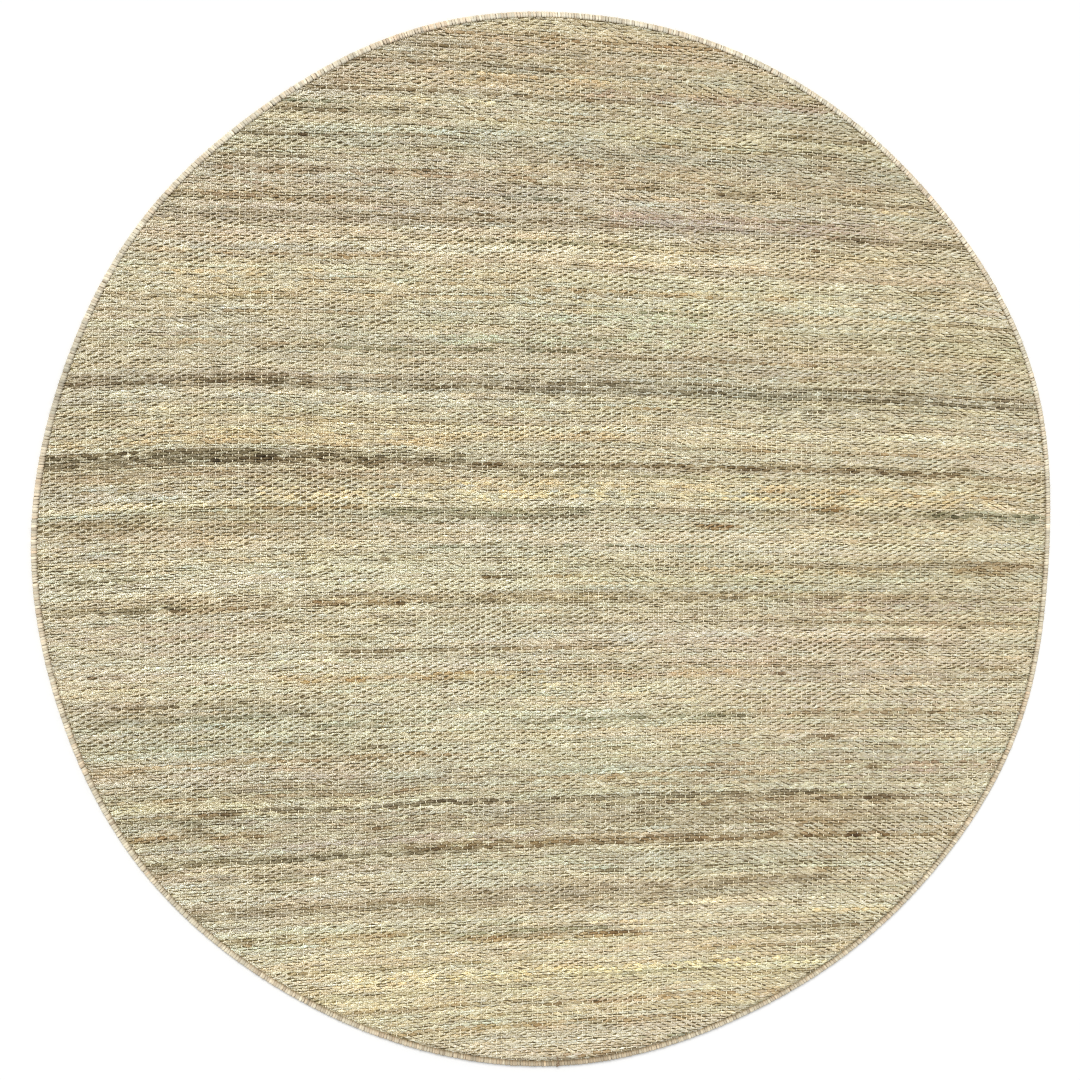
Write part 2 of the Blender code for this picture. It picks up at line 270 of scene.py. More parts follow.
LOWER_STREAKS = (
    Streak(-0.298, -0.46, -0.24, 2.0, 0.6, Dye.MOSS),
    Streak(-0.297, -0.12, 0.34, 1.6, 0.9, Dye.MOSS),
    Streak(-0.296, 0.26, 0.86, 1.9, 0.7, Dye.BROWN),
    Streak(-0.311, -0.58, -0.18, 2.4, 0.6, Dye.CREAM),
    Streak(-0.337, -0.38, -0.32, 1.7, 0.9, Dye.UMBER),
    Streak(-0.340, 0.41, 0.50, 2.4, 0.9, Dye.UMBER),
    Streak(-0.325, 0.28, 0.35, 1.5, 0.8, Dye.OLIVE),
    Streak(-0.332, -0.84, -0.30, 1.1, 0.6, Dye.OLIVE),
    Streak(-0.355, -0.68, -0.20, 1.8, 0.8, Dye.BROWN),
    Streak(-0.348, -0.12, 0.44, 1.2, 0.5, Dye.BROWN),
    Streak(-0.348, 0.48, 0.85, 1.2, 0.8, Dye.CREAM),
    Streak(-0.367, -0.82, -0.68, 2.2, 0.6, Dye.BROWN),
    Streak(-0.360, 0.54, 0.62, 1.7, 0.8, Dye.UMBER),
    Streak(-0.376, -0.36, 0.12, 5.0, 0.9, Dye.SAGE),
    Streak(-0.384, 0.20, 0.82, 1.1, 0.6, Dye.BROWN),
    Streak(-0.395, 0.52, 0.61, 1.7, 1.0, Dye.UMBER),
    Streak(-0.398, 0.58, 0.83, 4.4, 0.9, Dye.MAUVE),
    Streak(-0.400, -0.60, -0.08, 3.2, 0.6, Dye.GREY),
    Streak(-0.398, -0.10, 0.52, 2.0, 0.6, Dye.BROWN),
    Streak(-0.413, -0.80, -0.20, 1.6, 0.7, Dye.BROWN),
    Streak(-0.414, 0.06, 0.74, 1.1, 0.5, Dye.OLIVE),
    Streak(-0.421, -0.44, -0.16, 1.3, 0.7, Dye.CREAM),
    Streak(-0.447, -0.80, -0.56, 2.4, 0.8, Dye.UMBER),
    Streak(-0.441, -0.62, -0.12, 2.2, 0.8, Dye.CHARCOAL),
    Streak(-0.435, -0.28, 0.48, 1.8, 0.75, Dye.CHARCOAL),
    Streak(-0.447, 0.00, 0.74, 1.6, 0.9, Dye.UMBER),
    Streak(-0.442, 0.40, 0.66, 1.6, 0.7, Dye.OLIVE),
    Streak(-0.452, 0.52, 0.61, 3.2, 1.1, Dye.UMBER),
    Streak(-0.462, -0.66, -0.62, 4.6, 0.7, Dye.CHARCOAL),
    Streak(-0.470, -0.34, 0.64, 5.0, 0.45, Dye.GREY),
    Streak(-0.480, -0.77, -0.48, 2.4, 0.9, Dye.BROWN),
    Streak(-0.476, -0.36, -0.30, 1.4, 0.9, Dye.UMBER),
    Streak(-0.486, 0.05, 0.74, 1.2, 0.6, Dye.OLIVE),
    Streak(-0.494, 0.38, 0.52, 2.4, 0.8, Dye.BROWN),
    Streak(-0.498, -0.74, -0.04, 2.6, 0.9, Dye.MAUVE),
    Streak(-0.504, -0.40, 0.30, 1.2, 0.6, Dye.OLIVE),
    Streak(-0.520, -0.76, -0.12, 2.6, 0.85, Dye.CHARCOAL),
    Streak(-0.512, -0.30, 0.60, 2.4, 0.9, Dye.BROWN),
    Streak(-0.516, -0.10, 0.56, 1.2, 0.6, Dye.CHARCOAL),
    Streak(-0.520, 0.48, 0.75, 1.8, 1.0, Dye.UMBER),
    Streak(-0.525, -0.18, 0.34, 1.1, 0.8, Dye.CREAM),
    Streak(-0.536, -0.72, -0.65, 1.6, 0.9, Dye.UMBER),
    Streak(-0.541, -0.26, 0.04, 4.0, 0.8, Dye.SAGE),
    Streak(-0.556, -0.66, -0.40, 2.4, 0.6, Dye.OLIVE),
    Streak(-0.555, 0.42, 0.62, 1.8, 0.6, Dye.BROWN),
    Streak(-0.562, 0.06, 0.52, 1.0, 0.6, Dye.OLIVE),
    Streak(-0.577, 0.45, 0.50, 2.2, 0.9, Dye.BROWN),
    Streak(-0.591, 0.24, 0.50, 1.4, 0.6, Dye.CHARCOAL),
    Streak(-0.607, -0.69, -0.18, 3.2, 0.7, Dye.OLIVE),
    Streak(-0.597, -0.18, 0.46, 5.0, 0.55, Dye.GREY),
    Streak(-0.616, -0.20, 0.34, 1.3, 0.7, Dye.GREY),
    Streak(-0.627, -0.12, 0.64, 2.0, 0.8, Dye.CREAM),
    Streak(-0.629, -0.52, -0.16, 1.4, 0.8, Dye.CREAM),
    Streak(-0.646, -0.17, -0.08, 1.4, 0.8, Dye.MOSS),
    Streak(-0.658, -0.62, -0.53, 2.2, 1.0, Dye.UMBER),
    Streak(-0.660, -0.56, -0.18, 1.9, 0.8, Dye.BROWN),
    Streak(-0.662, -0.24, 0.10, 1.5, 0.9, Dye.MOSS),
    Streak(-0.654, -0.12, 0.16, 1.2, 0.9, Dye.CREAM),
    Streak(-0.652, 0.40, 0.62, 1.8, 0.7, Dye.TAN),
    Streak(-0.672, -0.22, 0.15, 2.2, 0.9, Dye.BROWN),
    Streak(-0.675, 0.07, 0.13, 1.4, 0.8, Dye.UMBER),
    Streak(-0.682, 0.32, 0.58, 1.2, 0.9, Dye.UMBER),
    Streak(-0.694, -0.30, 0.10, 3.0, 0.7, Dye.SAGE),
    Streak(-0.708, 0.24, 0.48, 1.5, 0.6, Dye.BROWN),
    Streak(-0.712, -0.52, -0.04, 1.2, 0.8, Dye.OLIVE),
    Streak(-0.735, -0.42, 0.48, 3.0, 0.8, Dye.STRAW),
    Streak(-0.747, -0.24, 0.34, 1.2, 0.8, Dye.OLIVE),
    Streak(-0.760, -0.46, -0.24, 2.6, 0.6, Dye.SAGE),
    Streak(-0.757, 0.34, 0.51, 2.2, 0.5, Dye.OLIVE),
    Streak(-0.784, -0.40, -0.02, 1.6, 0.7, Dye.BROWN),
    Streak(-0.795, -0.08, 0.13, 1.3, 1.0, Dye.UMBER),
    Streak(-0.791, 0.10, 0.42, 1.8, 0.6, Dye.BROWN),
    Streak(-0.812, 0.16, 0.37, 1.3, 0.8, Dye.OLIVE),
    Streak(-0.827, -0.36, 0.24, 2.0, 0.8, Dye.BROWN),
    Streak(-0.862, 0.12, 0.24, 1.4, 0.8, Dye.MOSS),
    Streak(-0.886, -0.04, 0.18, 2.0, 0.9, Dye.BROWN),
)
# Broad tints, where a whole run of bobbins differs
BROAD_TINTS = (
    Streak(0.800, -0.45, 0.45, 24.0, 0.35, Dye.TAN),
    Streak(0.620, -0.70, 0.66, 22.0, 0.35, Dye.MAUVE),
    Streak(0.640, -0.20, 0.66, 12.0, 0.20, Dye.BROWN),
    Streak(0.515, -0.74, 0.20, 12.0, 0.35, Dye.CREAM),
    Streak(0.505, 0.30, 0.80, 12.0, 0.30, Dye.TAN),
    Streak(0.440, -0.80, 0.10, 14.0, 0.35, Dye.TAN),
    Streak(0.425, 0.05, 0.82, 14.0, 0.35, Dye.STRAW),
    Streak(0.370, -0.50, 0.40, 16.0, 0.50, Dye.SAGE),
    Streak(0.210, -0.86, 0.86, 18.0, 0.40, Dye.STRAW),
    Streak(0.095, -0.86, 0.88, 12.0, 0.45, Dye.STRAW),
    Streak(0.020, 0.30, 0.88, 14.0, 0.35, Dye.TAN),
    Streak(0.000, -0.88, -0.30, 18.0, 0.30, Dye.TAN),
    Streak(-0.020, -0.50, 0.20, 14.0, 0.40, Dye.SAGE),
    Streak(-0.140, -0.10, 0.88, 16.0, 0.40, Dye.MAUVE),
    Streak(-0.220, -0.80, 0.25, 38.0, 0.60, Dye.SAGE),
    Streak(-0.270, 0.20, 0.86, 30.0, 0.50, Dye.MAUVE),
    Streak(-0.400, 0.10, 0.80, 24.0, 0.45, Dye.MAUVE),
    Streak(-0.430, -0.80, 0.00, 26.0, 0.40, Dye.MAUVE),
    Streak(-0.475, -0.78, 0.74, 20.0, 0.25, Dye.GREY),
    Streak(-0.580, -0.68, 0.68, 14.0, 0.22, Dye.GREY),
    Streak(-0.740, -0.60, 0.60, 44.0, 0.42, Dye.STRAW),
)


class Beat(NamedTuple):
    """How the weft rows are beaten at one height up the rug."""

    y: float
    pitch: float  # from row to row
    lean: float  # how far a float's ends lie off its row, rising to the right


BEATS = (
    Beat(-0.90, 4.50 * MM, 0.3 * MM),
    Beat(-0.80, 4.50 * MM, 0.2 * MM),
    Beat(-0.70, 4.55 * MM, 0.6 * MM),
    Beat(-0.60, 4.75 * MM, 0.8 * MM),
    Beat(-0.50, 4.90 * MM, 0.5 * MM),
    Beat(-0.40, 4.55 * MM, 0.7 * MM),
    Beat(-0.30, 4.85 * MM, 1.2 * MM),
    Beat(-0.20, 4.35 * MM, 1.0 * MM),
    Beat(-0.10, 4.40 * MM, 1.2 * MM),
    Beat(0.00, 4.40 * MM, 1.4 * MM),
    Beat(0.10, 4.40 * MM, 1.8 * MM),
    Beat(0.20, 4.05 * MM, 1.5 * MM),
    Beat(0.30, 4.60 * MM, 0.7 * MM),
    Beat(0.40, 4.35 * MM, 1.5 * MM),
    Beat(0.50, 4.25 * MM, 1.5 * MM),
    Beat(0.60, 4.25 * MM, 1.5 * MM),
    Beat(0.70, 4.60 * MM, 1.1 * MM),
    Beat(0.90, 4.75 * MM, 0.8 * MM),
)


class Reed(NamedTuple):
    """How far apart the warps stand at one distance to either side of the rug's middle."""

    x: float
    pitch: float


REEDS = (
    Reed(0.00, 8.95 * MM),
    Reed(0.20, 9.10 * MM),
    Reed(0.40, 9.40 * MM),
    Reed(0.60, 9.20 * MM),
    Reed(0.90, 9.50 * MM),
)


class Swell(NamedTuple):
    """A place where the rows run higher, or lower, than their neighbours to either side."""

    x: float
    y: float
    across: float  # half its width
    up: float  # half its height
    rise: float  # how much higher


SWELLS = (
    Swell(-0.58, 0.17, 0.24, 0.14, 9.0 * MM),
    Swell(0.95, 0.17, 0.25, 0.15, -7.0 * MM),
    Swell(-0.95, -0.10, 0.35, 0.12, -8.0 * MM),
    Swell(-0.36, -0.43, 0.08, 0.07, -5.0 * MM),
    Swell(0.60, 0.70, 0.30, 0.15, -6.0 * MM),
)


class Groove(NamedTuple):
    """Painted shade in the groove between weft and binding at one place round the rug."""

    turn: float  # direction from +X, degrees
    shade: float  # share of the light it loses


# Columns: turn, shade
GROOVES = (
    Groove(0, 0.32),
    Groove(45, 0.00),
    Groove(98, 0.31),
    Groove(140, 0.02),
    Groove(200, 0.14),
    Groove(225, 0.10),
    Groove(270, 0.42),
    Groove(320, 0.44),
    Groove(345, 0.37),
)


class Ripple(NamedTuple):
    """One long wave that the rows share."""

    rise: float  # share of the common height of the waves
    along: float  # how fast it runs along X, radians per metre
    up: float  # how fast it runs up Y
    start: float  # radians


# Columns: rise, along, up, start
RIPPLES = (
    Ripple(0.9, 9.0, 5.0, 0.0),
    Ripple(0.7, 17.0, -11.0, 1.3),
    Ripple(0.4, 31.0, 23.0, 0.4),
)


class Drift(NamedTuple):
    """A seeded change of the yarn's tone or colour along the rows."""

    spread: float
    length: float  # how far along X before it has changed
    shared: float  # how alike two rows that touch are, from 0 to 1


# Spreads of tone, as natural logarithms: over many rows from one bobbin, one row, and ever shorter stretches
TONE_DRIFTS = (
    Drift(0.029, 0.90, 0.93),
    Drift(0.058, 1.20, 0.40),
    Drift(0.055, 0.60, 0.30),
    Drift(0.030, 0.15, 0.12),
    Drift(0.042, 0.045, 0.05),
)
WARM_DRIFTS = (
    Drift(0.7, 0.90, 0.88),
    Drift(0.9, 0.80, 0.35),
    Drift(0.6, 0.12, 0.30),
    Drift(1.2, 0.05, 0.20),
)
RED_DRIFTS = (
    Drift(0.7, 0.90, 0.88),
    Drift(0.5, 0.05, 0.20),
)
BLUE_DRIFTS = (
    Drift(0.7, 0.80, 0.88),
    Drift(0.5, 0.06, 0.20),
)


class DyeShift(NamedTuple):
    """How a change of the yarn moves its red, green and blue, as natural logarithms."""

    red: float
    green: float
    blue: float


LIGHTER = DyeShift(0.87, 1.02, 1.13)
WARMER = DyeShift(0.75, -0.25, -1.50)
REDDER = DyeShift(1.0, -1.0, 0.0)
BLUER = DyeShift(0.0, 0.0, 1.0)


def read_table(
    table: tuple[NamedTuple, ...], given: str, wanted: str, at: Array | float, period: float | None = None
) -> Array:
    """Reads a column of a table by another column, smoothly between rows.

    Args:
        table: Rows in rising order of the given column.
        given: Name of the column to look in.
        wanted: Name of the column to read.
        at: Where to look.
        period: Length after which the given column starts again, if it does.

    Returns:
        The wanted value for each place.
    """
    known = [getattr(row, given) for row in table]
    values = [getattr(row, wanted) for row in table]
    return np.interp(at, known, values, period=period)


def smooth(edge0: float, edge1: float, value: Array) -> Array:
    """Rises smoothly from 0 at edge0 to 1 at edge1.

    Args:
        edge0: Where the rise starts.
        edge1: Where it ends. It may lie below edge0, for a fall.
        value: The values to look up.

    Returns:
        A value from 0 to 1 for each one in value.
    """
    share = np.clip((value - edge0) / (edge1 - edge0), 0.0, 1.0)
    return share * share * (3.0 - 2.0 * share)


def groove_pull(inset: Array) -> Array:
    """How far the cloth is pulled down at each distance in from the outer edge."""
    return GROOVE_DEPTH * smooth(GROOVE_INSET + 5 * MM, GROOVE_INSET - 1 * MM, inset)


class Outline:
    """The rug's outer edge as a radius for each direction, read from the CAD binding."""

    FACETS = 168

    def __init__(self, binding: bpy.types.Object) -> None:
        """Keeps the outermost CAD corner of each facet.

        Args:
            binding: The CAD node of the edge binding.
        """
        corners = np.array([vertex.co[:2] for vertex in binding.data.vertices])
        angles = np.arctan2(corners[:, 1], corners[:, 0]) % FULL_TURN
        radii = np.hypot(corners[:, 0], corners[:, 1])
        facet = np.rint(angles / FULL_TURN * self.FACETS).astype(int) % self.FACETS
        best = [np.flatnonzero(facet == step) for step in range(self.FACETS)]
        best = [rows[np.argmax(radii[rows])] for rows in best]
        order = np.argsort(angles[best])
        self.angles = angles[best][order]
        self.radii = radii[best][order]

    def radius(self, angle: Array) -> Array:
        """Outer radius in each direction."""
        return np.interp(angle % FULL_TURN, self.angles, self.radii, period=FULL_TURN)

    def inset(self, x: Array, y: Array) -> Array:
        """How far each point lies in from the outer edge."""
        return self.radius(np.arctan2(y, x)) - np.hypot(x, y)

    def point(self, angle: Array, inset: Array) -> tuple[Array, Array]:
        """X and Y of points that lie inset from the edge in the given directions."""
        radius = self.radius(angle) - inset
        return radius * np.cos(angle), radius * np.sin(angle)


class PieceMesh:
    """Collects the corners, faces and attributes of one piece, and makes its object."""

    def __init__(self, name: str, corners: Array, faces: Array) -> None:
        """Starts a piece.

        Args:
            name: Name of the object and its mesh.
            corners: One row of X, Y and Z for each corner.
            faces: One row of three or four corner numbers for each face, anticlockwise from outside.
        """
        self.mesh = bpy.data.meshes.new(name)
        self.mesh.vertices.add(len(corners))
        self.mesh.vertices.foreach_set("co", corners.astype(np.float32).ravel())
        self.mesh.loops.add(faces.size)
        self.mesh.loops.foreach_set("vertex_index", faces.astype(np.int32).ravel())
        self.mesh.polygons.add(len(faces))
        starts = np.arange(0, faces.size, faces.shape[1], dtype=np.int32)
        self.mesh.polygons.foreach_set("loop_start", starts)
        self.mesh.polygons.foreach_set("use_smooth", np.ones(len(faces), dtype=bool))
        self.mesh.update(calc_edges=True)
        self.name = name
        self.faces = faces

    def uv(self, name: str, places: Array) -> "PieceMesh":
        """Adds a UV map from one place for each corner.

        Args:
            name: Name of the map.
            places: Two shares or lengths for each corner.

        Returns:
            This piece.
        """
        layer = self.mesh.uv_layers.new(name=name)
        layer.data.foreach_set("uv", places[self.faces.ravel()].astype(np.float32).ravel())
        return self

    def colour(self, name: str, colours: Array) -> "PieceMesh":
        """Adds a colour attribute from one red, green and blue for each corner.

        Args:
            name: Name of the attribute.
            colours: Red, green and blue for each corner.

        Returns:
            This piece.
        """
        attribute = self.mesh.color_attributes.new(name, "FLOAT_COLOR", "POINT")
        alpha = np.ones((len(colours), 1))
        attribute.data.foreach_set("color", np.hstack([colours, alpha]).astype(np.float32).ravel())
        return self

    def finish(self, material: Material) -> bpy.types.Object:
        """Makes the object, dresses it and lets it ride on the rug.

        Args:
            material: What the whole piece is made of.

        Returns:
            The finished object.
        """
        self.mesh.materials.append(material)
        piece = bpy.data.objects.new(self.name, self.mesh)
        bpy.context.scene.collection.objects.link(piece)
        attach(piece, BODY)
        triangles = sum(len(face.vertices) - 2 for face in self.mesh.polygons)
        LOG.info("%s: %d triangles", self.name, triangles)
        return piece


class MaterialMaker:
    """Adds and joins the nodes of one material round its shader."""

    def __init__(self, name: str) -> None:
        """Starts a material with a bare shader.

        Args:
            name: Name of the material.
        """
        self.material = bpy.data.materials.new(name)
        self.material.use_nodes = True
        self.tree = self.material.node_tree
        self.shader = self.tree.nodes["Principled BSDF"]

    def add(self, kind: str, **settings: object) -> bpy.types.Node:
        """Adds a node and sets its properties.

        Args:
            kind: Blender's name for the kind of node.
            settings: Properties and their values.

        Returns:
            The node.
        """
        node = self.tree.nodes.new(kind)
        for key, value in settings.items():
            setattr(node, key, value)
        return node

    def feed(self, socket: Socket, value: object) -> None:
        """Sets a socket to a plain value, or joins it to another node's output.

        Args:
            socket: The input to feed.
            value: A number, a colour or an output.
        """
        if isinstance(value, Socket):
            self.tree.links.new(value, socket)
        else:
            socket.default_value = value

    def attribute(self, name: str) -> Socket:
        """Colour of a mesh attribute."""
        return self.add("ShaderNodeAttribute", attribute_name=name).outputs["Color"]

    def uv(self, name: str) -> Socket:
        """Places of a UV map."""
        return self.add("ShaderNodeUVMap", uv_map=name).outputs["UV"]

    def position(self) -> Socket:
        """Places in the piece's own frame."""
        return self.add("ShaderNodeTexCoord").outputs["Object"]

    def stretched(self, places: Socket, cell: Cell, turn: float = 0.0) -> Socket:
        """Turns places about Z and measures them in cells.

        Args:
            places: The places to change.
            cell: Length of one cell along each axis, in metres.
            turn: Turn of the cells' long side, in degrees.

        Returns:
            The places, counted in cells.
        """
        node = self.add("ShaderNodeMapping", vector_type="TEXTURE")
        self.feed(node.inputs["Vector"], places)
        node.inputs["Rotation"].default_value = (0.0, 0.0, math.radians(turn))
        node.inputs["Scale"].default_value = cell
        return node.outputs["Vector"]

    def noise(self, places: Socket, detail: float = 2.0, rough: float = 0.5) -> Socket:
        """Cloudy noise from 0 to 1 with one cloud to a cell.

        Args:
            places: Where to look, counted in cells.
            detail: How many finer layers it has.
            rough: How strong the finer layers are.

        Returns:
            The noise.
        """
        node = self.add("ShaderNodeTexNoise")
        self.feed(node.inputs["Vector"], places)
        node.inputs["Scale"].default_value = 1.0
        node.inputs["Detail"].default_value = detail
        node.inputs["Roughness"].default_value = rough
        return node.outputs["Fac"]

    def span(self, value: object, low: float, high: float, start: float = 0.3, end: float = 0.7) -> Socket:
        """Spreads a value from start to end over low to high, and holds it there.

        Args:
            value: Socket or number to spread.
            low: What start becomes.
            high: What end becomes.
            start: Value that gives low.
            end: Value that gives high.

        Returns:
            The spread value.
        """
        node = self.add("ShaderNodeMapRange", clamp=True)
        for socket, given in zip(node.inputs, (value, start, end, low, high)):
            self.feed(socket, given)
        return node.outputs["Result"]

    def maths(self, operation: str, first: object, second: object) -> Socket:
        """One sum of two values.

        Args:
            operation: Blender's name for the sum.
            first: First value.
            second: Second value.

        Returns:
            The result.
        """
        node = self.add("ShaderNodeMath", operation=operation)
        self.feed(node.inputs[0], first)
        self.feed(node.inputs[1], second)
        return node.outputs[0]

    def shaded(self, colour: object, factor: object) -> Socket:
        """A colour made lighter or darker by a factor.

        Args:
            colour: The colour.
            factor: What it is multiplied by.

        Returns:
            The new colour.
        """
        node = self.add("ShaderNodeVectorMath", operation="SCALE")
        self.feed(node.inputs["Vector"], colour)
        self.feed(node.inputs["Scale"], factor)
        return node.outputs["Vector"]

    def product(self, first: object, second: object) -> Socket:
        """Two colours multiplied.

        Args:
            first: First colour.
            second: Second colour.

        Returns:
            The product.
        """
        node = self.add("ShaderNodeVectorMath", operation="MULTIPLY")
        self.feed(node.inputs[0], first)
        self.feed(node.inputs[1], second)
        return node.outputs["Vector"]

    def blend(self, share: object, first: object, second: object) -> Socket:
        """A colour between two others.

        Args:
            share: 0 for the first, 1 for the second.
            first: First colour.
            second: Second colour.

        Returns:
            The colour between.
        """
        node = self.add("ShaderNodeMix", data_type="RGBA")
        self.feed(node.inputs["Factor"], share)
        self.feed(node.inputs["A"], first)
        self.feed(node.inputs["B"], second)
        return node.outputs["Result"]

    def bump(self, height: Socket, strength: float, reach: float) -> Socket:
        """Surface direction for a height from 0 to 1 that stands reach metres proud.

        Args:
            height: The height.
            strength: How much of it is taken.
            reach: Metres for a height of 1.

        Returns:
            The direction.
        """
        node = self.add("ShaderNodeBump")
        self.feed(node.inputs["Height"], height)
        node.inputs["Strength"].default_value = strength
        node.inputs["Distance"].default_value = reach
        return node.outputs["Normal"]


@dataclass(frozen=True)
class YarnFinish:
    """Spun fibre: its dye from the mesh, with fibres, strands and flecks along the yarn."""

    name: str
    fibre: Cell = (0.008, 0.00035, 1.0)  # one fibre, along and across the yarn
    strand: Cell = (0.008, 0.0015, 1.0)  # one bundle of fibres
    twist: float = 19.0  # lean of the fibres, degrees
    contrast: float = 0.25  # how much fibres differ in tone
    bundle_contrast: float = 0.45  # how much bundles of fibres differ in tone
    grain: float = 0.0  # how much single specks differ in tone, where the grain is coarsest
    speck: Cell = (0.0019, 0.0012, 1.0)  # one speck
    speck_span: Span = (0.36, 0.64)  # noise of the darkest and of the lightest speck
    coarsest: Cell = (-0.77, 0.16, 0.0)  # where on the rug the grain is coarsest
    coarse_reach: Span = (0.7, 1.4)  # distances from there over which it turns fine
    fine: float = 0.25  # share of the grain that is left beyond them
    fleck: float = 0.40  # tone of the woody flecks
    fleck_cell: Cell = (0.0045, 0.0007, 1.0)  # one fleck
    fleck_span: Span = (0.68, 0.78)  # noise where a fleck starts and where it is full, so how rare flecks are
    groove: float = 1.0  # painted shade: tone at the yarn's sides, where it meets the next row
    groove_span: Span = (0.22, 0.50)  # shares of the yarn's width from its middle line
    gap: float = 1.0  # painted shade: tone where a float's end stands off the next row
    gap_span: Span = (-0.15, -0.07)  # product of both ways off a float's middle, each from -0.5 to 0.5
    shadow: Colour = (1.13, 0.98, 0.60)  # tint of the darkest tones
    gleam: Colour = (0.955, 1.007, 1.14)  # tint of the lightest
    tint_span: Span = (0.25, 1.40)  # tones that have all of the shadow and all of the gleam
    roughness: Span = (0.58, 0.82)
    specular: float = 0.32
    relief: float = 0.40 * MM

    def material(self) -> Material:
        """Builds the nodes.

        Returns:
            The finished material.
        """
        maker = MaterialMaker(self.name)
        along = maker.uv("Yarn")
        fibres = maker.noise(maker.stretched(along, self.fibre, self.twist), detail=3.0, rough=0.6)
        strands = maker.noise(maker.stretched(along, self.strand, self.twist), detail=2.0)
        flecks = maker.noise(maker.stretched(along, self.fleck_cell, self.twist), detail=1.0)
        tone = maker.maths(
            "MULTIPLY",
            maker.span(fibres, 1.0 - self.contrast, 1.0 + self.contrast),
            maker.span(strands, 1.0 - self.bundle_contrast, 1.0 + self.bundle_contrast),
        )
        tone = maker.maths("MULTIPLY", tone, maker.span(flecks, 1.0, self.fleck, *self.fleck_span))
        if self.grain > 0.0:
            tone = maker.maths("MULTIPLY", tone, self.specks(maker, along))
        # Painted shade at a float's sides and by its ends
        if self.groove < 1.0:
            tone = maker.maths("MULTIPLY", tone, self.shade(maker))
        share = maker.span(tone, 0.0, 1.0, *self.tint_span)
        tint = maker.blend(share, (*self.shadow, 1.0), (*self.gleam, 1.0))
        # The mesh's colour holds the yarn's dye, with painted shade multiplied in on the weft and the
        # stitches
        colour = maker.shaded(maker.product(maker.attribute("yarn_dye_and_shade"), tint), tone)
        maker.feed(maker.shader.inputs["Base Color"], colour)
        maker.feed(maker.shader.inputs["Roughness"], maker.span(fibres, self.roughness[1], self.roughness[0]))
        maker.shader.inputs["Specular IOR Level"].default_value = self.specular
        relief = maker.maths("ADD", maker.span(fibres, 0.0, 0.6), maker.span(strands, 0.0, 0.4))
        maker.feed(maker.shader.inputs["Normal"], maker.bump(relief, strength=0.7, reach=self.relief))
        return maker.material

    def specks(self, maker: MaterialMaker, along: Socket) -> Socket:
        """Coarse grain of slubs and fibre ends, strongest towards the rug's left.

        Args:
            maker: The material so far.
            along: Places along and across the yarn.

        Returns:
            The tone, 1 where there is no speck.
        """
        specks = maker.noise(maker.stretched(along, self.speck, self.twist), detail=0.0)
        specks = maker.span(specks, 1.0 - self.grain, 1.0 + self.grain, *self.speck_span)
        away = maker.add("ShaderNodeVectorMath", operation="DISTANCE")
        maker.feed(away.inputs[0], maker.position())
        away.inputs[1].default_value = self.coarsest
        strength = maker.span(away.outputs["Value"], 1.0, self.fine, *self.coarse_reach)
        return maker.maths("POWER", specks, strength)

    def shade(self, maker: MaterialMaker) -> Socket:
        """Painted shade that darkens a float's sides, most of all where its end leaves a gap.

        Args:
            maker: The material so far.

        Returns:
            The tone, 1 on top of a float.
        """
        split = maker.add("ShaderNodeSeparateXYZ")
        maker.feed(split.inputs[0], maker.uv("Float"))
        ends, across = (maker.maths("SUBTRACT", split.outputs[axis], 0.5) for axis in "XY")
        side = maker.span(maker.maths("ABSOLUTE", across, 0.0), 1.0, self.groove, *self.groove_span)
        gap = maker.span(maker.maths("MULTIPLY", ends, across), self.gap, 1.0, *self.gap_span)
        return maker.maths("MULTIPLY", side, gap)


@dataclass(frozen=True)
class GroundFinish:
    """The cloth between and under the yarns, woven by a brick pattern of floats, in dark colours that are
    partly painted shade.
    """

    name: str
    float_length: float = 18.2 * MM
    row: float = 4.5 * MM
    # The cloth's own colours, made darker as painted shade for where the sheet shows in the gaps between the
    # rows
    light: Colour = (0.36, 0.29, 0.15)
    dark: Colour = (0.26, 0.20, 0.10)
    gap: Colour = (0.14, 0.10, 0.05)
    gap_width: float = 0.9 * MM
    fibre: Cell = (0.010, 0.0004, 0.01)
    cloud: Cell = (0.25, 0.02, 0.1)  # one patch of lighter or darker cloth
    specular: float = 0.25
    relief: float = 1.0 * MM

    def material(self) -> Material:
        """Builds the nodes.

        Returns:
            The finished material.
        """
        maker = MaterialMaker(self.name)
        places = maker.position()
        bricks = maker.add("ShaderNodeTexBrick", offset=0.5, offset_frequency=2, squash=1.0)
        maker.feed(bricks.inputs["Vector"], places)
        for socket, value in (
            ("Color1", (*self.light, 1.0)),
            ("Color2", (*self.dark, 1.0)),
            ("Mortar", (*self.gap, 1.0)),
            ("Scale", 1.0),
            ("Mortar Size", self.gap_width),
            ("Mortar Smooth", 1.0),
            ("Bias", 0.1),
            ("Brick Width", self.float_length),
            ("Row Height", self.row),
        ):
            bricks.inputs[socket].default_value = value
        fibres = maker.noise(maker.stretched(places, self.fibre), detail=3.0)
        clouds = maker.noise(maker.stretched(places, self.cloud), detail=3.0)
        tone = maker.maths("MULTIPLY", maker.span(fibres, 0.82, 1.15), maker.span(clouds, 0.85, 1.12))
        maker.feed(maker.shader.inputs["Base Color"], maker.shaded(bricks.outputs["Color"], tone))
        maker.feed(maker.shader.inputs["Roughness"], maker.span(fibres, 0.95, 0.80))
        maker.shader.inputs["Specular IOR Level"].default_value = self.specular
        relief = maker.maths("SUBTRACT", maker.span(fibres, 0.0, 0.25), bricks.outputs["Fac"])
        maker.feed(maker.shader.inputs["Normal"], maker.bump(relief, strength=0.8, reach=self.relief))
        return maker.material


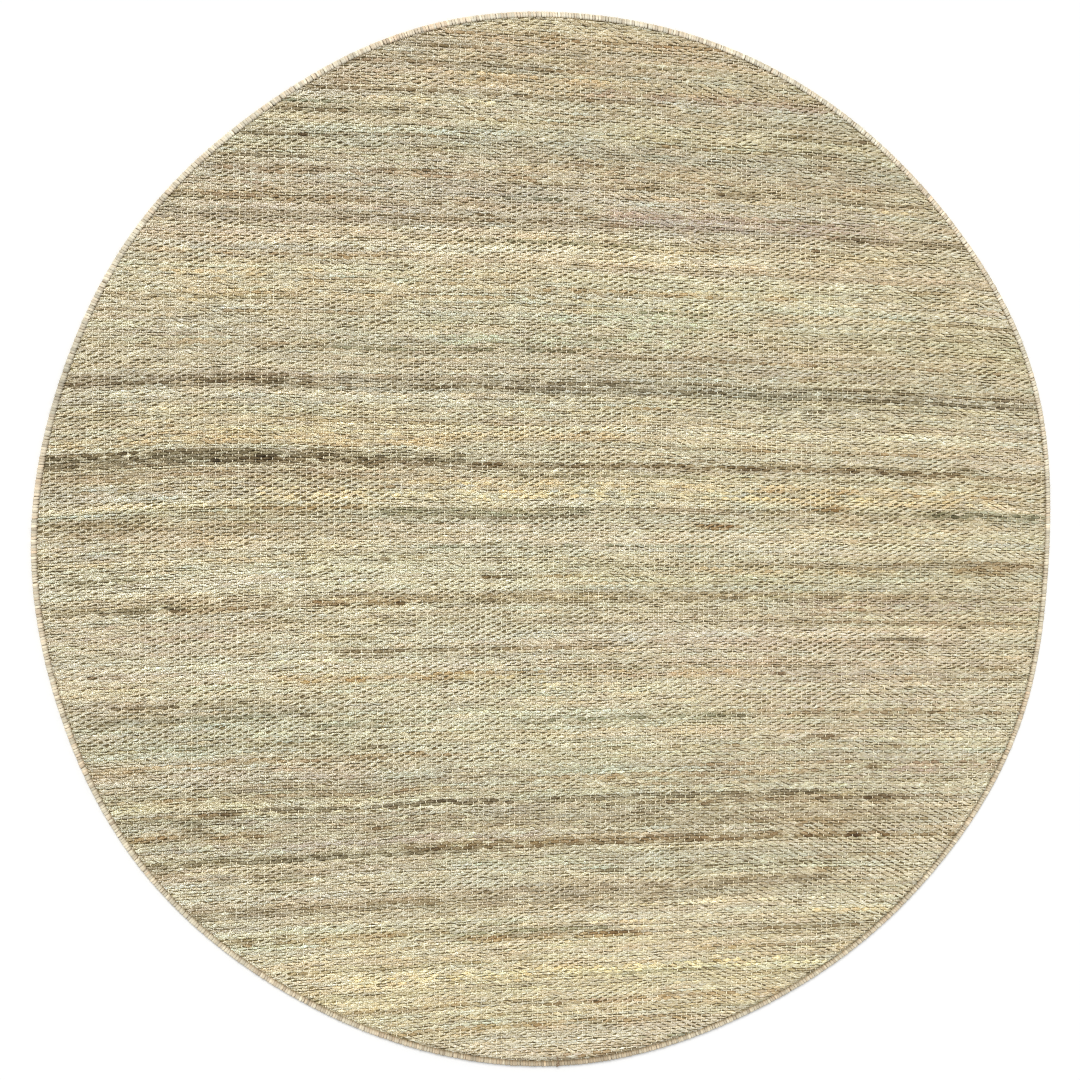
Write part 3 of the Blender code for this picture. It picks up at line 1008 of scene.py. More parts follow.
@dataclass(frozen=True)
class FloorFinish:
    """A matte white studio floor with the faintest mottle."""

    name: str
    colour: Colour = (0.86, 0.86, 0.86)
    cloud: Cell = (0.6, 0.6, 0.6)
    specular: float = 0.1

    def material(self) -> Material:
        """Builds the nodes.

        Returns:
            The finished material.
        """
        maker = MaterialMaker(self.name)
        clouds = maker.noise(maker.stretched(maker.position(), self.cloud), detail=4.0)
        mottle = maker.span(clouds, 0.99, 1.01)
        maker.feed(maker.shader.inputs["Base Color"], maker.shaded(self.colour, mottle))
        maker.feed(maker.shader.inputs["Roughness"], maker.span(clouds, 0.90, 0.95))
        maker.shader.inputs["Specular IOR Level"].default_value = self.specular
        return maker.material


@dataclass
class Loom:
    """Where the warps stand and the weft rows run, with what changes slowly along them."""

    outline: Outline
    reach: float = 0.906  # half of the square that the layout fills
    stops: tuple[float, ...] = (0.0, 0.27, 0.73)  # stations as shares of the way from warp to warp
    bow: float = 0.016  # how far the rows droop at both sides, per metre
    ripple: float = 0.9 * MM  # common height of the long waves in the rows
    beat_error: float = 0.045  # how unevenly single rows are beaten
    spare_cells: int = 6  # cells of a drift beyond the layout
    loose: float = 0.2  # rows less alike than this start their cells anywhere
    evened: float = 1.17  # brings the spread of smoothed values back to 1
    seed: int = 11

    def __post_init__(self) -> None:
        """Lays out stations and rows."""
        self.rng = np.random.default_rng(self.seed)
        self.warps = self.warp_places()
        whole = np.arange(len(self.warps))
        place = (whole[:, None] + np.array(self.stops)).ravel()[: 1 - len(self.stops)]  # whole on a warp
        self.x = np.interp(place, whole, self.warps)
        self.rows = self.row_places()
        self.y = self.row_lines()
        # Odd where a float has its middle
        self.crossing = place[None, :] + np.arange(len(self.rows))[:, None] + 1.0
        self.phase = self.crossing % 2.0 - 1.0  # 0 at a float's middle, 1 or -1 where it dives
        self.inset = self.outline.inset(np.broadcast_to(self.x, self.y.shape), self.y)

    def warp_places(self) -> Array:
        """X of each warp, from left to right.

        Returns:
            One place for each warp.
        """
        side = [0.0]
        while side[-1] < self.reach:
            side.append(side[-1] + float(read_table(REEDS, "x", "pitch", side[-1])))
        half = np.array(side)
        return np.concatenate([-half[:0:-1], half])

    def row_places(self) -> Array:
        """Y of each weft row at the rug's middle, from the bottom up.

        Returns:
            One place for each row.
        """
        rows = [-self.reach]
        while rows[-1] < self.reach:
            error = 1.0 + self.beat_error * float(self.rng.standard_normal())
            rows.append(rows[-1] + float(read_table(BEATS, "y", "pitch", rows[-1])) * error)
        return np.array(rows)

    def row_lines(self) -> Array:
        """Y of each row at each station: rows droop at both sides, swell and wander slightly together.

        Returns:
            One place for each row and station.
        """
        x = self.x[None, :]
        y = self.rows[:, None]
        waves = sum(wave.rise * np.sin(x * wave.along + y * wave.up + wave.start) for wave in RIPPLES)
        y = y - self.bow * x * x + self.ripple * waves
        for swell in SWELLS:
            far = ((x - swell.x) / swell.across) ** 2 + ((y - swell.y) / swell.up) ** 2
            y = y + swell.rise * np.exp(-far)
        return y

    def along(self, length: float, shared: float = 0.0) -> Array:
        """Smooth seeded values along each row, with a mean of 0 and a spread of 1.

        Args:
            length: How far along X before a value has changed.
            shared: How alike two rows that touch are, from 0 to 1.

        Returns:
            One value for each row and station.
        """
        cells = int(2 * self.reach / length) + self.spare_cells
        values = self.rng.standard_normal((len(self.rows), cells))
        for row in range(1, len(values)):
            values[row] = shared * values[row - 1] + math.sqrt(1 - shared * shared) * values[row]
        shift = self.rng.uniform(0.0, 1.0 if shared < self.loose else 0.4, (len(values), 1))
        place = (self.x[None, :] + self.reach) / length + 0.5 + shift
        cell = np.floor(place).astype(int)
        share = place - cell
        share = share * share * (3.0 - 2.0 * share)
        row = np.arange(len(values))[:, None]
        return (values[row, cell] * (1 - share) + values[row, cell + 1] * share) * self.evened

    def drift(self, drifts: tuple[Drift, ...]) -> Array:
        """Sum of several seeded changes, for each row and station."""
        return sum(drift.spread * self.along(drift.length, drift.shared) for drift in drifts)

    def each_float(self) -> Array:
        """One seeded value for each float of weft, with a mean of 0 and a spread of 1.

        Returns:
            That value for each row and station.
        """
        number = np.floor(self.crossing / 2.0).astype(int)
        values = self.rng.standard_normal((len(self.rows), int(number.max()) + 1))
        return values[np.arange(len(self.rows))[:, None], number]

    def nearest_row(self, x: float, y: float) -> float:
        """Number of the row at a point, with the fraction between two rows."""
        station = int(np.argmin(np.abs(self.x - x)))
        return float(np.interp(y, self.y[:, station], np.arange(len(self.rows))))


@dataclass
class WeftDye:
    """The tone of every bit of weft: plain jute, slow changes along the rows, slubs and the named streaks."""

    loom: Loom
    jute: Colour = PLAIN_JUTE
    float_tone: float = 0.085  # spread of tone from float to float, as a natural logarithm
    bleach: float = 0.75  # how much less jute bleaches than it darkens
    warmth: float = 0.0155  # how much yellower and redder some rows are
    redness: float = 0.0115
    blueness: float = 0.010
    along_take: float = 0.30  # how unevenly the yarn takes a dye along a float
    float_take: float = 0.50  # and from float to float
    take_span: Span = (0.05, 2.0)
    take: float = 0.65  # how well the yarn takes the dye of a streak
    taper: float = 35.0 * MM  # how far a streak takes to fade in and out
    slubs: int = 160
    slub_reach: float = 0.86  # half of the square that they are scattered over
    slub_half: Span = (8.0 * MM, 35.0 * MM)  # half lengths
    slub_strength: Span = (0.3, 0.9)
    slub_dyes: tuple[Dye, ...] = (Dye.UMBER, Dye.BROWN, Dye.CHARCOAL, Dye.OLIVE)
    thin: float = 1.7  # a streak of fewer rows keeps to whole rows
    broad: float = 8.0  # a streak of more rows is a tint that fades slowly on all sides

    def paint(self) -> Array:
        """Mixes the dye.

        Returns:
            Red, green and blue for each row and station.
        """
        loom = self.loom
        tone = loom.drift(TONE_DRIFTS) + self.float_tone * loom.each_float()
        tone = np.where(tone > 0.0, self.bleach * tone, tone)
        warm = self.warmth * loom.drift(WARM_DRIFTS)
        red = self.redness * loom.drift(RED_DRIFTS)
        blue = self.blueness * loom.drift(BLUE_DRIFTS)
        shifts = ((tone, LIGHTER), (warm, WARMER), (red, REDDER), (blue, BLUER))
        logs = sum(amount[..., None] * np.array(shift) for amount, shift in shifts)
        dye = np.array(self.jute) * np.exp(logs)
        flicker = 1.0 + self.along_take * loom.along(0.02) + self.float_take * loom.each_float()
        flicker = np.clip(flicker, *self.take_span)
        for streak in (*BROAD_TINTS, *UPPER_STREAKS, *MIDDLE_STREAKS, *LOWER_STREAKS, *self.random_slubs()):
            self.lay(dye, streak, flicker)
        return dye

    def random_slubs(self) -> list[Streak]:
        """Short dark slubs that any jute cloth has, scattered over the rug.

        Returns:
            One short streak for each slub.
        """
        rng = self.loom.rng
        found = []
        for dye in rng.choice(np.array(self.slub_dyes, dtype=object), self.slubs):
            x, y = (float(value) for value in rng.uniform(-self.slub_reach, self.slub_reach, 2))
            half = float(rng.uniform(*self.slub_half))
            strength = float(rng.uniform(*self.slub_strength))
            found.append(Streak(y, x - half, x + half, 1.0, strength, dye))
        return found

    def lay(self, dye: Array, streak: Streak, flicker: Array) -> None:
        """Dyes one streak into the rows it takes.

        Args:
            dye: Red, green and blue for each row and station, changed in place.
            streak: The streak to lay.
            flicker: How unevenly the dye takes at each row and station.
        """
        loom = self.loom
        middle = loom.nearest_row((streak.left + streak.right) / 2, streak.y)
        if streak.rows < self.thin:
            middle = round(middle)
        broad = streak.rows >= self.broad
        taper = min(0.35 * (streak.right - streak.left), 5.0 * self.taper if broad else self.taper)
        fade = 0.3 * streak.rows if broad else 0.5  # rows over which it fades up and down
        reach = streak.rows / 2 + fade
        first, last = max(int(middle - reach), 0), min(int(middle + reach + 2), len(loom.rows))
        for row in range(first, last):
            share = min(max((reach - abs(row - middle)) / (2 * fade), 0.0), 1.0)
            if share <= 0.0:
                continue
            left = streak.left + float(loom.rng.normal(0.0, 0.25 * taper))
            right = streak.right + float(loom.rng.normal(0.0, 0.25 * taper))
            along = smooth(left, left + taper, loom.x) * smooth(right, right - taper, loom.x)
            amount = self.take * share * streak.strength * along * flicker[row]
            dye[row] *= np.array(streak.dye.value)[None, :] ** amount[:, None]


@dataclass
class WeftYarns:
    """The jute weft as one undulating strip for each row, split into bands of rows."""

    loom: Loom
    dye: Array
    bands: int = 6
    crest: float = 6.9 * MM  # top of a float
    dip: float = 3.1 * MM  # top of the yarn where it passes under a warp
    belly: float = 0.600  # half width of a float at its middle, as a share of the row pitch
    waist: float = 0.74 * MM  # half width where it passes under a warp
    float_thickness: float = 0.12  # spreads of thickness: from float to float
    slub_thickness: float = 0.10  # over a slub
    row_thickness: float = 0.06  # along a row
    float_height: float = 0.28 * MM  # spreads of a float's height: from float to float
    row_height: float = 0.15 * MM  # along a row
    float_shift: float = 0.35 * MM  # how far single floats lie off their row
    flank: float = 3.0 * MM  # how far a float's sides fall
    press: float = 0.35  # how much less a side falls where it meets the next row
    ridge: float = 0.22  # how far a float's top line wanders, as a share of its half width
    lean: float = 0.16  # share of the lean that the rows are beaten with
    lean_back: float = 0.13 * MM  # how far floats settle back against it
    row_lean: float = 0.30 * MM  # spreads of the lean: over a group of rows
    float_lean: float = 0.60 * MM  # from float to float
    # Lengths over which they change
    slub_length: float = 0.03
    thickness_length: float = 0.5
    height_length: float = 0.15
    lean_length: float = 0.12
    ridge_length: float = 0.011
    lean_shared: float = 0.85  # how alike neighbouring rows lean
    girth: float = 1.3  # way over a float's side, as a share of its half width
    yarn_run: float = 50.0  # length of yarn that the rows are cut from
    tip: float = 0.88  # painted shade: tone where it dives under a warp
    depth: tuple[float, ...] = (1.25, 0.85, 1.25)  # strength of the dye: lower side, top and upper side
    tuck: float = 5.0 * MM  # where the yarn ends, under the binding
    beside: Span = (4.5 * MM, 1.5 * MM)  # how far past the groove its painted shade starts and is full

    def settled(self, x: Array, y: Array) -> Array:
        """How far floats lean back in places: most at the right and lower right, where they turn over.

        Args:
            x: X of each row and station.
            y: Y of each row and station.

        Returns:
            A length for each.
        """
        corner = smooth(0.0, 0.35, x) * smooth(-0.10, -0.40, y)
        top, right, bottom = smooth(0.40, 0.75, y), smooth(0.25, 0.70, x), smooth(-0.35, -0.55, y)
        return MM * (0.30 * top + 0.20 * right + 0.25 * bottom + 0.35 * corner)

    def shape(self) -> tuple[Array, Array]:
        """Lays out the strips.

        Returns:
            The corners, by row, station, side and axis, and the half widths by row and station.
        """
        loom = self.loom
        phase = loom.phase
        swell = (1.0 - np.abs(phase) ** 3.0) ** 0.5
        thick = 1.0 + self.float_thickness * loom.each_float()
        thick = thick + self.slub_thickness * loom.along(self.slub_length)
        thick = thick + self.row_thickness * loom.along(self.thickness_length)
        pitch = read_table(BEATS, "y", "pitch", loom.y)
        half = (self.waist + (self.belly * pitch - self.waist) * swell) * thick
        top = self.dip + (self.crest - self.dip) * swell
        uneven = self.float_height * loom.each_float() + self.row_height * loom.along(self.height_length)
        top = top + swell * uneven
        x = np.broadcast_to(loom.x, loom.y.shape)
        lean = self.lean * read_table(BEATS, "y", "lean", loom.y) - self.lean_back - self.settled(x, loom.y)
        lean = lean + self.row_lean * loom.along(self.lean_length, shared=self.lean_shared)
        lean = lean + self.float_lean * loom.each_float()
        y = loom.y + lean * np.where(np.abs(phase) < 0.9, 1.5 * phase, 0.0)
        y = y + self.float_shift * loom.each_float() * swell
        top = top - groove_pull(loom.inset)
        fall = self.flank * (0.62 + 0.38 * swell)
        touch = np.sin(phase * math.pi)  # above 0 where the upper side meets a row, below 0 for the lower
        ridge = self.ridge * half * loom.along(self.ridge_length)
        corners = np.empty((*y.shape, 3, 3))
        corners[..., 0] = x[..., None]
        corners[..., 0, 1] = y - half
        corners[..., 1, 1] = y + np.clip(ridge, -0.5 * half, 0.5 * half)
        corners[..., 2, 1] = y + half
        corners[..., 0, 2] = top - fall * (1.0 - self.press * np.maximum(-touch, 0.0))
        corners[..., 1, 2] = top
        corners[..., 2, 2] = top - fall * (1.0 - self.press * np.maximum(touch, 0.0))
        return corners, half

    def build(self, material: Material) -> list[bpy.types.Object]:
        """Makes the bands.

        Args:
            material: The jute.

        Returns:
            The bands, from the bottom of the rug up.
        """
        corners, half = self.shape()
        loom = self.loom
        # Painted shade where the yarn dives under a warp and in the groove beside the binding, multiplied
        # into the dye
        dive_and_groove_shade = 1.0 - (1.0 - self.tip) * np.abs(loom.phase) ** 4
        beside = smooth(GROOVE_INSET + self.beside[0], GROOVE_INSET + self.beside[1], loom.inset)
        turn = np.degrees(np.arctan2(loom.y, np.broadcast_to(loom.x, loom.y.shape)))
        dive_and_groove_shade = dive_and_groove_shade * (1.0 - beside * read_table(GROOVES, "turn", "shade", turn, period=360.0))
        shift = self.dye[:, :, None, :] / PLAIN_JUTE
        dye = PLAIN_JUTE * shift ** np.array(self.depth)[:, None] * dive_and_groove_shade[..., None, None]
        start = loom.rng.uniform(0.0, self.yarn_run, (len(loom.rows), 1, 1))
        yarn = np.empty((*half.shape, 3, 2))
        yarn[..., 0] = loom.x[None, :, None] + start
        yarn[..., 1] = half[..., None] * np.array([-self.girth, 0.0, self.girth])
        # Places on each float for its painted shade: towards its ends, and across from its lower side to its
        # upper side
        float_shade_places = np.empty((*half.shape, 3, 2))
        float_shade_places[..., 0] = 0.5 + 0.5 * np.sin(loom.phase * math.pi)[..., None]
        float_shade_places[..., 1] = (0.0, 0.5, 1.0)
        inside = loom.inset > self.tuck
        edges = np.linspace(0, len(loom.rows), self.bands + 1).astype(int)
        pieces = []
        for band, (first, last) in enumerate(zip(edges[:-1], edges[1:]), start=1):
            keep = inside[first:last]
            number = np.cumsum(keep.ravel()).reshape(keep.shape) - 1
            row, station = np.nonzero(keep[:, :-1] & keep[:, 1:])
            here, there = number[row, station] * 3, number[row, station + 1] * 3
            lower = np.stack([here, there, there + 1, here + 1], axis=-1)
            quads = np.concatenate([lower, lower + 1])
            places = corners[first:last][keep].reshape(-1, 3)
            piece = PieceMesh(f"weft_band_{band}", places, quads)
            piece.uv("OFBake", bake_places(places))
            piece.uv("Yarn", yarn[first:last][keep].reshape(-1, 2))
            piece.uv("Float", float_shade_places[first:last][keep].reshape(-1, 2))
            piece.colour("yarn_dye_and_shade", dye[first:last][keep].reshape(-1, 3))
            pieces.append(piece.finish(material))
        return pieces


def bake_places(corners: Array) -> Array:
    """Places seen from straight above, stretched to fill the square.

    Args:
        corners: X, Y and Z of each corner.

    Returns:
        Two shares from 0 to 1 for each corner.
    """
    low, high = corners[:, :2].min(axis=0), corners[:, :2].max(axis=0)
    return 0.002 + 0.996 * (corners[:, :2] - low) / (high - low)


@dataclass
class WarpDashes:
    """The cotton warp where it shows: a short arch over the weft at every other crossing."""

    loom: Loom
    crest: float = 5.3 * MM
    shoulder: float = 4.4 * MM
    foot: float = 3.2 * MM  # where it dives under the rows above and below
    half_width: float = 0.90 * MM
    half_length: float = 3.0 * MM
    uneven_place: float = 0.15 * MM
    uneven_width: float = 0.15  # as a share of the half width
    uneven_length: float = 0.08
    uneven_height: float = 0.20 * MM
    uneven_skew: float = 0.25 * MM  # how far its feet stand off its warp
    cotton: Colour = (0.93, 0.87, 0.69)
    natural: Colour = (0.79, 0.71, 0.50)  # unbleached cotton, towards the right
    tone: float = 0.22  # spreads of tone: from dash to dash
    warp_tone: float = 0.12  # from warp to warp
    brightest: float = 1.05

    def build(self, material: Material) -> bpy.types.Object:
        """Makes every dash as one mesh: its two feet, its two shoulders and its crest.

        Args:
            material: The cotton.

        Returns:
            The dashes.
        """
        loom = self.loom
        rng = loom.rng
        dives = (np.abs(loom.phase) > 0.99) & (loom.inset > GROOVE_INSET + 0.5 * MM)
        row, station = np.nonzero(dives)
        count = len(row)
        x = loom.x[station] + rng.normal(0.0, self.uneven_place, count)
        y = loom.y[row, station] + rng.normal(0.0, self.uneven_place, count)
        length = self.half_length * (1.0 + self.uneven_length * rng.standard_normal(count))
        width = self.half_width * (1.0 + self.uneven_width * rng.standard_normal(count))
        rise = self.uneven_height * rng.standard_normal(count) - groove_pull(loom.inset[row, station])
        skew = rng.normal(0.0, self.uneven_skew, count)
        corners = np.empty((count, 5, 3))
        corners[:, 0] = np.stack([x - skew, y - length, self.foot + rise], axis=-1)
        corners[:, 1] = np.stack([x - width, y, self.shoulder + rise], axis=-1)
        corners[:, 2] = np.stack([x, y, self.crest + rise], axis=-1)
        corners[:, 3] = np.stack([x + width, y, self.shoulder + rise], axis=-1)
        corners[:, 4] = np.stack([x + skew, y + length, self.foot + rise], axis=-1)
        first = np.arange(count)[:, None] * corners.shape[1]
        sides = ((0, 2, 1), (0, 3, 2), (2, 4, 1), (2, 3, 4))
        faces = np.concatenate([first + np.array(side) for side in sides])
        places = corners.reshape(-1, 3)
        share = (smooth(0.40, 0.62, x) * smooth(-0.35, -0.10, y))[:, None]
        tint = np.array(self.cotton) * (1.0 - share) + np.array(self.natural) * share
        tone = self.tone * rng.standard_normal(count)
        tone = tone + self.warp_tone * rng.standard_normal(len(loom.x))[station]
        tint = np.repeat(tint * np.minimum(np.exp(tone), self.brightest)[:, None], corners.shape[1], axis=0)
        yarn = np.stack([places[:, 1] + places[:, 0] * 7.0, places[:, 0]], axis=-1)
        piece = PieceMesh("cotton_warp", places, faces)
        piece.uv("OFBake", bake_places(places)).uv("Yarn", yarn).colour("yarn_dye_and_shade", tint)
        piece.uv("Float", np.full((len(places), 2), 0.5))
        return piece.finish(material)


@dataclass
class GroundCloth:
    """The closed sheet of cloth under the yarns, which stands for the whole woven field; its top shows in the
    gaps between the yarns, dark as painted shade.
    """

    outline: Outline
    rings: int = 16
    spokes: int = 168
    edge: float = 3.0 * MM  # inset of its rim, inside the binding
    top: float = 2.9 * MM
    bottom: float = 0.25 * MM

    def build(self, material: Material) -> bpy.types.Object:
        """Makes the sheet.

        Args:
            material: The bare cloth.

        Returns:
            The sheet.
        """
        angles = np.arange(self.spokes) * FULL_TURN / self.spokes
        shares = np.linspace(0.0, 1.0, self.rings + 1)[1:]
        edge_x, edge_y = self.outline.point(angles, np.full(self.spokes, self.edge))
        layers = []
        for height in (self.top, self.bottom):
            flat = np.stack([np.outer(shares, edge_x), np.outer(shares, edge_y)], axis=-1).reshape(-1, 2)
            layers.append(np.hstack([flat, np.full((len(flat), 1), height)]))
        middles = np.array([[0.0, 0.0, self.top], [0.0, 0.0, self.bottom]])
        corners = np.vstack([*layers, middles])
        step = np.arange(self.spokes)
        after = (step + 1) % self.spokes
        ring = np.arange(self.rings - 1)[:, None] * self.spokes
        side = self.rings * self.spokes
        next_ring = ring + self.spokes
        upper = np.stack([ring + step, next_ring + step, next_ring + after, ring + after], axis=-1)
        upper = upper.reshape(-1, 4)
        rim = (self.rings - 1) * self.spokes
        wall = np.stack([rim + step, side + rim + step, side + rim + after, rim + after], axis=-1)
        quads = np.vstack([upper, upper[:, ::-1] + side, wall])
        triangles = np.vstack([
            np.stack([np.full(self.spokes, 2 * side), step, after], axis=-1),
            np.stack([np.full(self.spokes, 2 * side + 1), side + after, side + step], axis=-1),
        ])
        mesh = bpy.data.meshes.new("ground_cloth")
        mesh.from_pydata(corners.tolist(), [], quads.tolist() + triangles.tolist())
        mesh.materials.append(material)
        piece = bpy.data.objects.new("ground_cloth", mesh)
        bpy.context.scene.collection.objects.link(piece)
        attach(piece, BODY)
        LOG.info("ground_cloth: %d triangles", 2 * len(quads) + len(triangles))
        return piece


class EdgeYarn(NamedTuple):
    """A yarn that takes turns with the cream one round the edge."""

    colour: Colour
    everywhere: float  # its share all round
    uneven: float  # how much that differs from stitch to stitch
    wave: float  # and in slow waves round the rug
    spot: float  # how much more of it there is in one place
    middle: float  # direction of that place from +X, degrees
    reach: float  # how far it reaches to both sides, degrees


PEACH: Colour = (0.94, 0.73, 0.52)
TAN: Colour = (0.56, 0.45, 0.31)
GREY: Colour = (0.50, 0.46, 0.36)
# Columns: colour, everywhere, uneven, wave, spot, middle, reach
EDGE_YARNS = (
    EdgeYarn(PEACH, 0.14, 0.22, 0.12, 0.16, 95.0, 28.0),
    EdgeYarn(TAN, 0.06, 0.16, 0.00, 0.22, 325.0, 30.0),
    EdgeYarn(TAN, 0.00, 0.15, 0.00, 0.80, 269.0, 15.0),
    EdgeYarn(GREY, 0.00, 0.14, 0.00, 0.50, 165.0, 10.0),
)


class StopTone(NamedTuple):
    """Painted shade and light on one stop of a stitch, as natural logarithms."""

    tone: float
    swing: float  # how much lighter it is where it catches the most light


# The first stops of every stitch, from the groove to the top of the edge, with painted shade darkest at the
# groove. Columns: tone, swing
STOP_TONES = (
    StopTone(-0.80, 0.30),
    StopTone(-0.25, 0.48),
    StopTone(0.01, 0.19),
)
STOP_TINT = (0.85, 1.0, 1.25)  # how much of that tone red, green and blue take


@dataclass
class Overcast:
    """The yarn whipped over the cut edge: one stitch after another round a padded core."""

    outline: Outline
    stitches: int = 1210
    half_width: float = 2.45 * MM
    sink: float = 0.95 * MM  # how far a stitch's sides lie below its middle
    slant: float = 1.9 * MM  # how far a stitch runs along the edge while it crosses
    upright: float = 0.35  # share of a stitch at which it is where it would be without the slant
    narrowing: float = 0.20  # how much narrower a stitch is at both ends
    uneven_place: float = 0.10  # spreads: of place, as a share of the room for a stitch
    uneven_slant: float = 0.25  # of slant and of width, as shares
    uneven_width: float = 0.09
    uneven_height: float = 0.16 * MM
    uneven_bend: float = 0.25 * MM
    cream: Colour = (0.92, 0.85, 0.67)
    tone: float = 0.925
    uneven_tone: float = 0.12
    side_shade: float = 0.82  # painted shade between the stitches: tone at both sides of a stitch
    brightest: float = math.radians(85.0)  # direction in which the stitches' inner ends catch the most light
    dye_waves: tuple[int, ...] = (5, 11, 23, 47)  # slow waves round the rug in the yarns' shares
    most: float = 0.9  # largest share of a yarn
    yarn_run: float = 40.0  # length of yarn that the stitches are cut from
    floor_gap: float = 0.05 * MM
    middle: Span = (4.6 * MM, 3.9 * MM)  # inset and height of a place inside the core
    sheet_lines: int = 12  # rows in which the stitches lie when they are unrolled
    sheet_margins: Span = (0.08, 0.03)  # bare share of a stitch's room there, at each side and each end
    core_spokes: int = 336
    core_lines: int = 8  # lengths of core that lie side by side when it is unrolled
    core_step: float = 1.5 * MM  # from stop to stop round its section
    core_radius: float = 0.9  # of the ring it makes, roughly
    core_tone: float = 0.55
    seed: int = 29
    # Inset and height of a stitch's middle line, from where it comes up to where it goes back under
    line: tuple[tuple[float, float], ...] = (
        (10.7 * MM, 4.6 * MM),
        (9.7 * MM, 6.6 * MM),
        (7.0 * MM, 7.6 * MM),
        (3.6 * MM, 7.7 * MM),
        (1.3 * MM, 6.7 * MM),
        (0.25 * MM, 4.4 * MM),
        (0.6 * MM, 2.1 * MM),
        (2.4 * MM, 0.4 * MM),
        (8.6 * MM, 0.2 * MM),
    )
    # Inset and height of the core's section, closed
    core: tuple[tuple[float, float], ...] = (
        (9.0 * MM, 0.8 * MM),
        (9.0 * MM, 4.8 * MM),
        (7.0 * MM, 6.6 * MM),
        (3.9 * MM, 6.8 * MM),
        (1.9 * MM, 5.9 * MM),
        (1.2 * MM, 4.0 * MM),
        (1.6 * MM, 1.9 * MM),
        (3.4 * MM, 0.6 * MM),
    )
    rng: np.random.Generator = field(init=False)

    def __post_init__(self) -> None:
        """Seeds the yarn's unevenness."""
        self.rng = np.random.default_rng(self.seed)

    def dye(self, angles: Array) -> Array:
        """Colour of each stitch: cream with peach, tan and a few grey ones where the photo shows them.

        Args:
            angles: Direction of each stitch.

        Returns:
            Red, green and blue for each stitch.
        """
        rng = self.rng
        count = len(angles)
        waves = sum(np.sin(angles * turns + rng.uniform(0, FULL_TURN)) for turns in self.dye_waves)
        colour = np.array(self.cream)[None, :]
        for yarn in EDGE_YARNS:
            off = (np.degrees(angles) - yarn.middle + 180.0) % 360.0 - 180.0
            share = yarn.everywhere + yarn.spot * np.exp(-((off / yarn.reach) ** 2))
            share = share + yarn.uneven * rng.standard_normal(count)
            share = np.clip(share + yarn.wave * waves, 0.0, self.most)[:, None]
            colour = colour * (1 - share) + np.array(yarn.colour) * share
        return self.tone * colour * np.exp(self.uneven_tone * rng.standard_normal((count, 1)))

    def build_stitches(self, material: Material) -> bpy.types.Object:
        """Makes every stitch as one mesh.

        Args:
            material: The binding yarn.

        Returns:
            The stitches.
        """
        rng = self.rng
        count, stops = self.stitches, len(self.line)
        spread = FULL_TURN / count
        angles = (np.arange(count) + rng.normal(0.0, self.uneven_place, count)) * spread
        insets, heights = (np.array(column) for column in zip(*self.line))
        run = np.concatenate([[0.0], np.cumsum(np.hypot(np.diff(insets), np.diff(heights)))])
        slope = np.stack([np.gradient(insets), np.gradient(heights)], axis=-1)
        slope /= np.linalg.norm(slope, axis=1, keepdims=True)
        outward = np.stack([slope[:, 1], -slope[:, 0]], axis=-1)  # towards smaller inset, away from the core
        off = np.stack([insets, heights], axis=-1) - np.array(self.middle)
        away = np.sign(np.sum(outward * off, axis=1))
        outward *= away[:, None]
        radius = self.outline.radius(angles)
        slant = self.slant * (1.0 + self.uneven_slant * rng.standard_normal(count))
        width = self.half_width * (1.0 + self.uneven_width * rng.standard_normal(count))
        fat = self.uneven_height * rng.standard_normal(count)
        bend = self.uneven_bend * rng.standard_normal(count)
        corners = np.empty((count, stops, 3, 3))
        yarn = np.empty((count, stops, 3, 2))
        share = run / run[-1]
        arch = np.sin(share * math.pi)  # 0 at both ends of a stitch and 1 halfway
        for side, across in enumerate((-1.0, 0.0, 1.0)):
            drop = self.sink * abs(across)
            along = slant[:, None] * (share - self.upright) + bend[:, None] * arch
            along = along + across * width[:, None] * (1.0 - self.narrowing + self.narrowing * arch)
            turn = angles[:, None] + along / radius[:, None]
            push = fat[:, None] * arch - drop
            inset = insets + outward[:, 0] * push
            height = np.maximum(heights + outward[:, 1] * push, self.floor_gap)
            x, y = self.outline.point(turn, inset)
            corners[:, :, side] = np.stack([x, y, height], axis=-1)
            yarn[:, :, side, 0] = run + rng.uniform(0.0, self.yarn_run, (count, 1))
            yarn[:, :, side, 1] = across * width[:, None]
        grid = np.arange(stops - 1)[:, None] * 3 + np.arange(2)
        quad = np.stack([grid, grid + 3, grid + 4, grid + 1], axis=-1).reshape(-1, 4)
        quads = (np.arange(count)[:, None, None] * stops * 3 + quad).reshape(-1, 4)
        dye = np.repeat(self.dye(angles)[:, None, :], stops * 3, axis=1).reshape(count, stops, 3, 3)
        # Painted shade at both sides of every stitch
        dye[:, :, (0, 2)] *= self.side_shade
        # Painted shade at the inner ends towards the groove, and painted light where they face the light
        light = np.cos(angles - self.brightest)[:, None]
        for stop, (tone, swing) in enumerate(STOP_TONES):
            dye[:, stop] *= np.exp((tone + swing * light) * np.array(STOP_TINT))[:, None, :]
        piece = PieceMesh("overcast_stitches", corners.reshape(-1, 3), quads)
        piece.uv("OFBake", self.unrolled(angles, run, stops)).uv("Yarn", yarn.reshape(-1, 2))
        piece.colour("yarn_dye_and_shade", dye.reshape(-1, 3))
        return piece.finish(material)

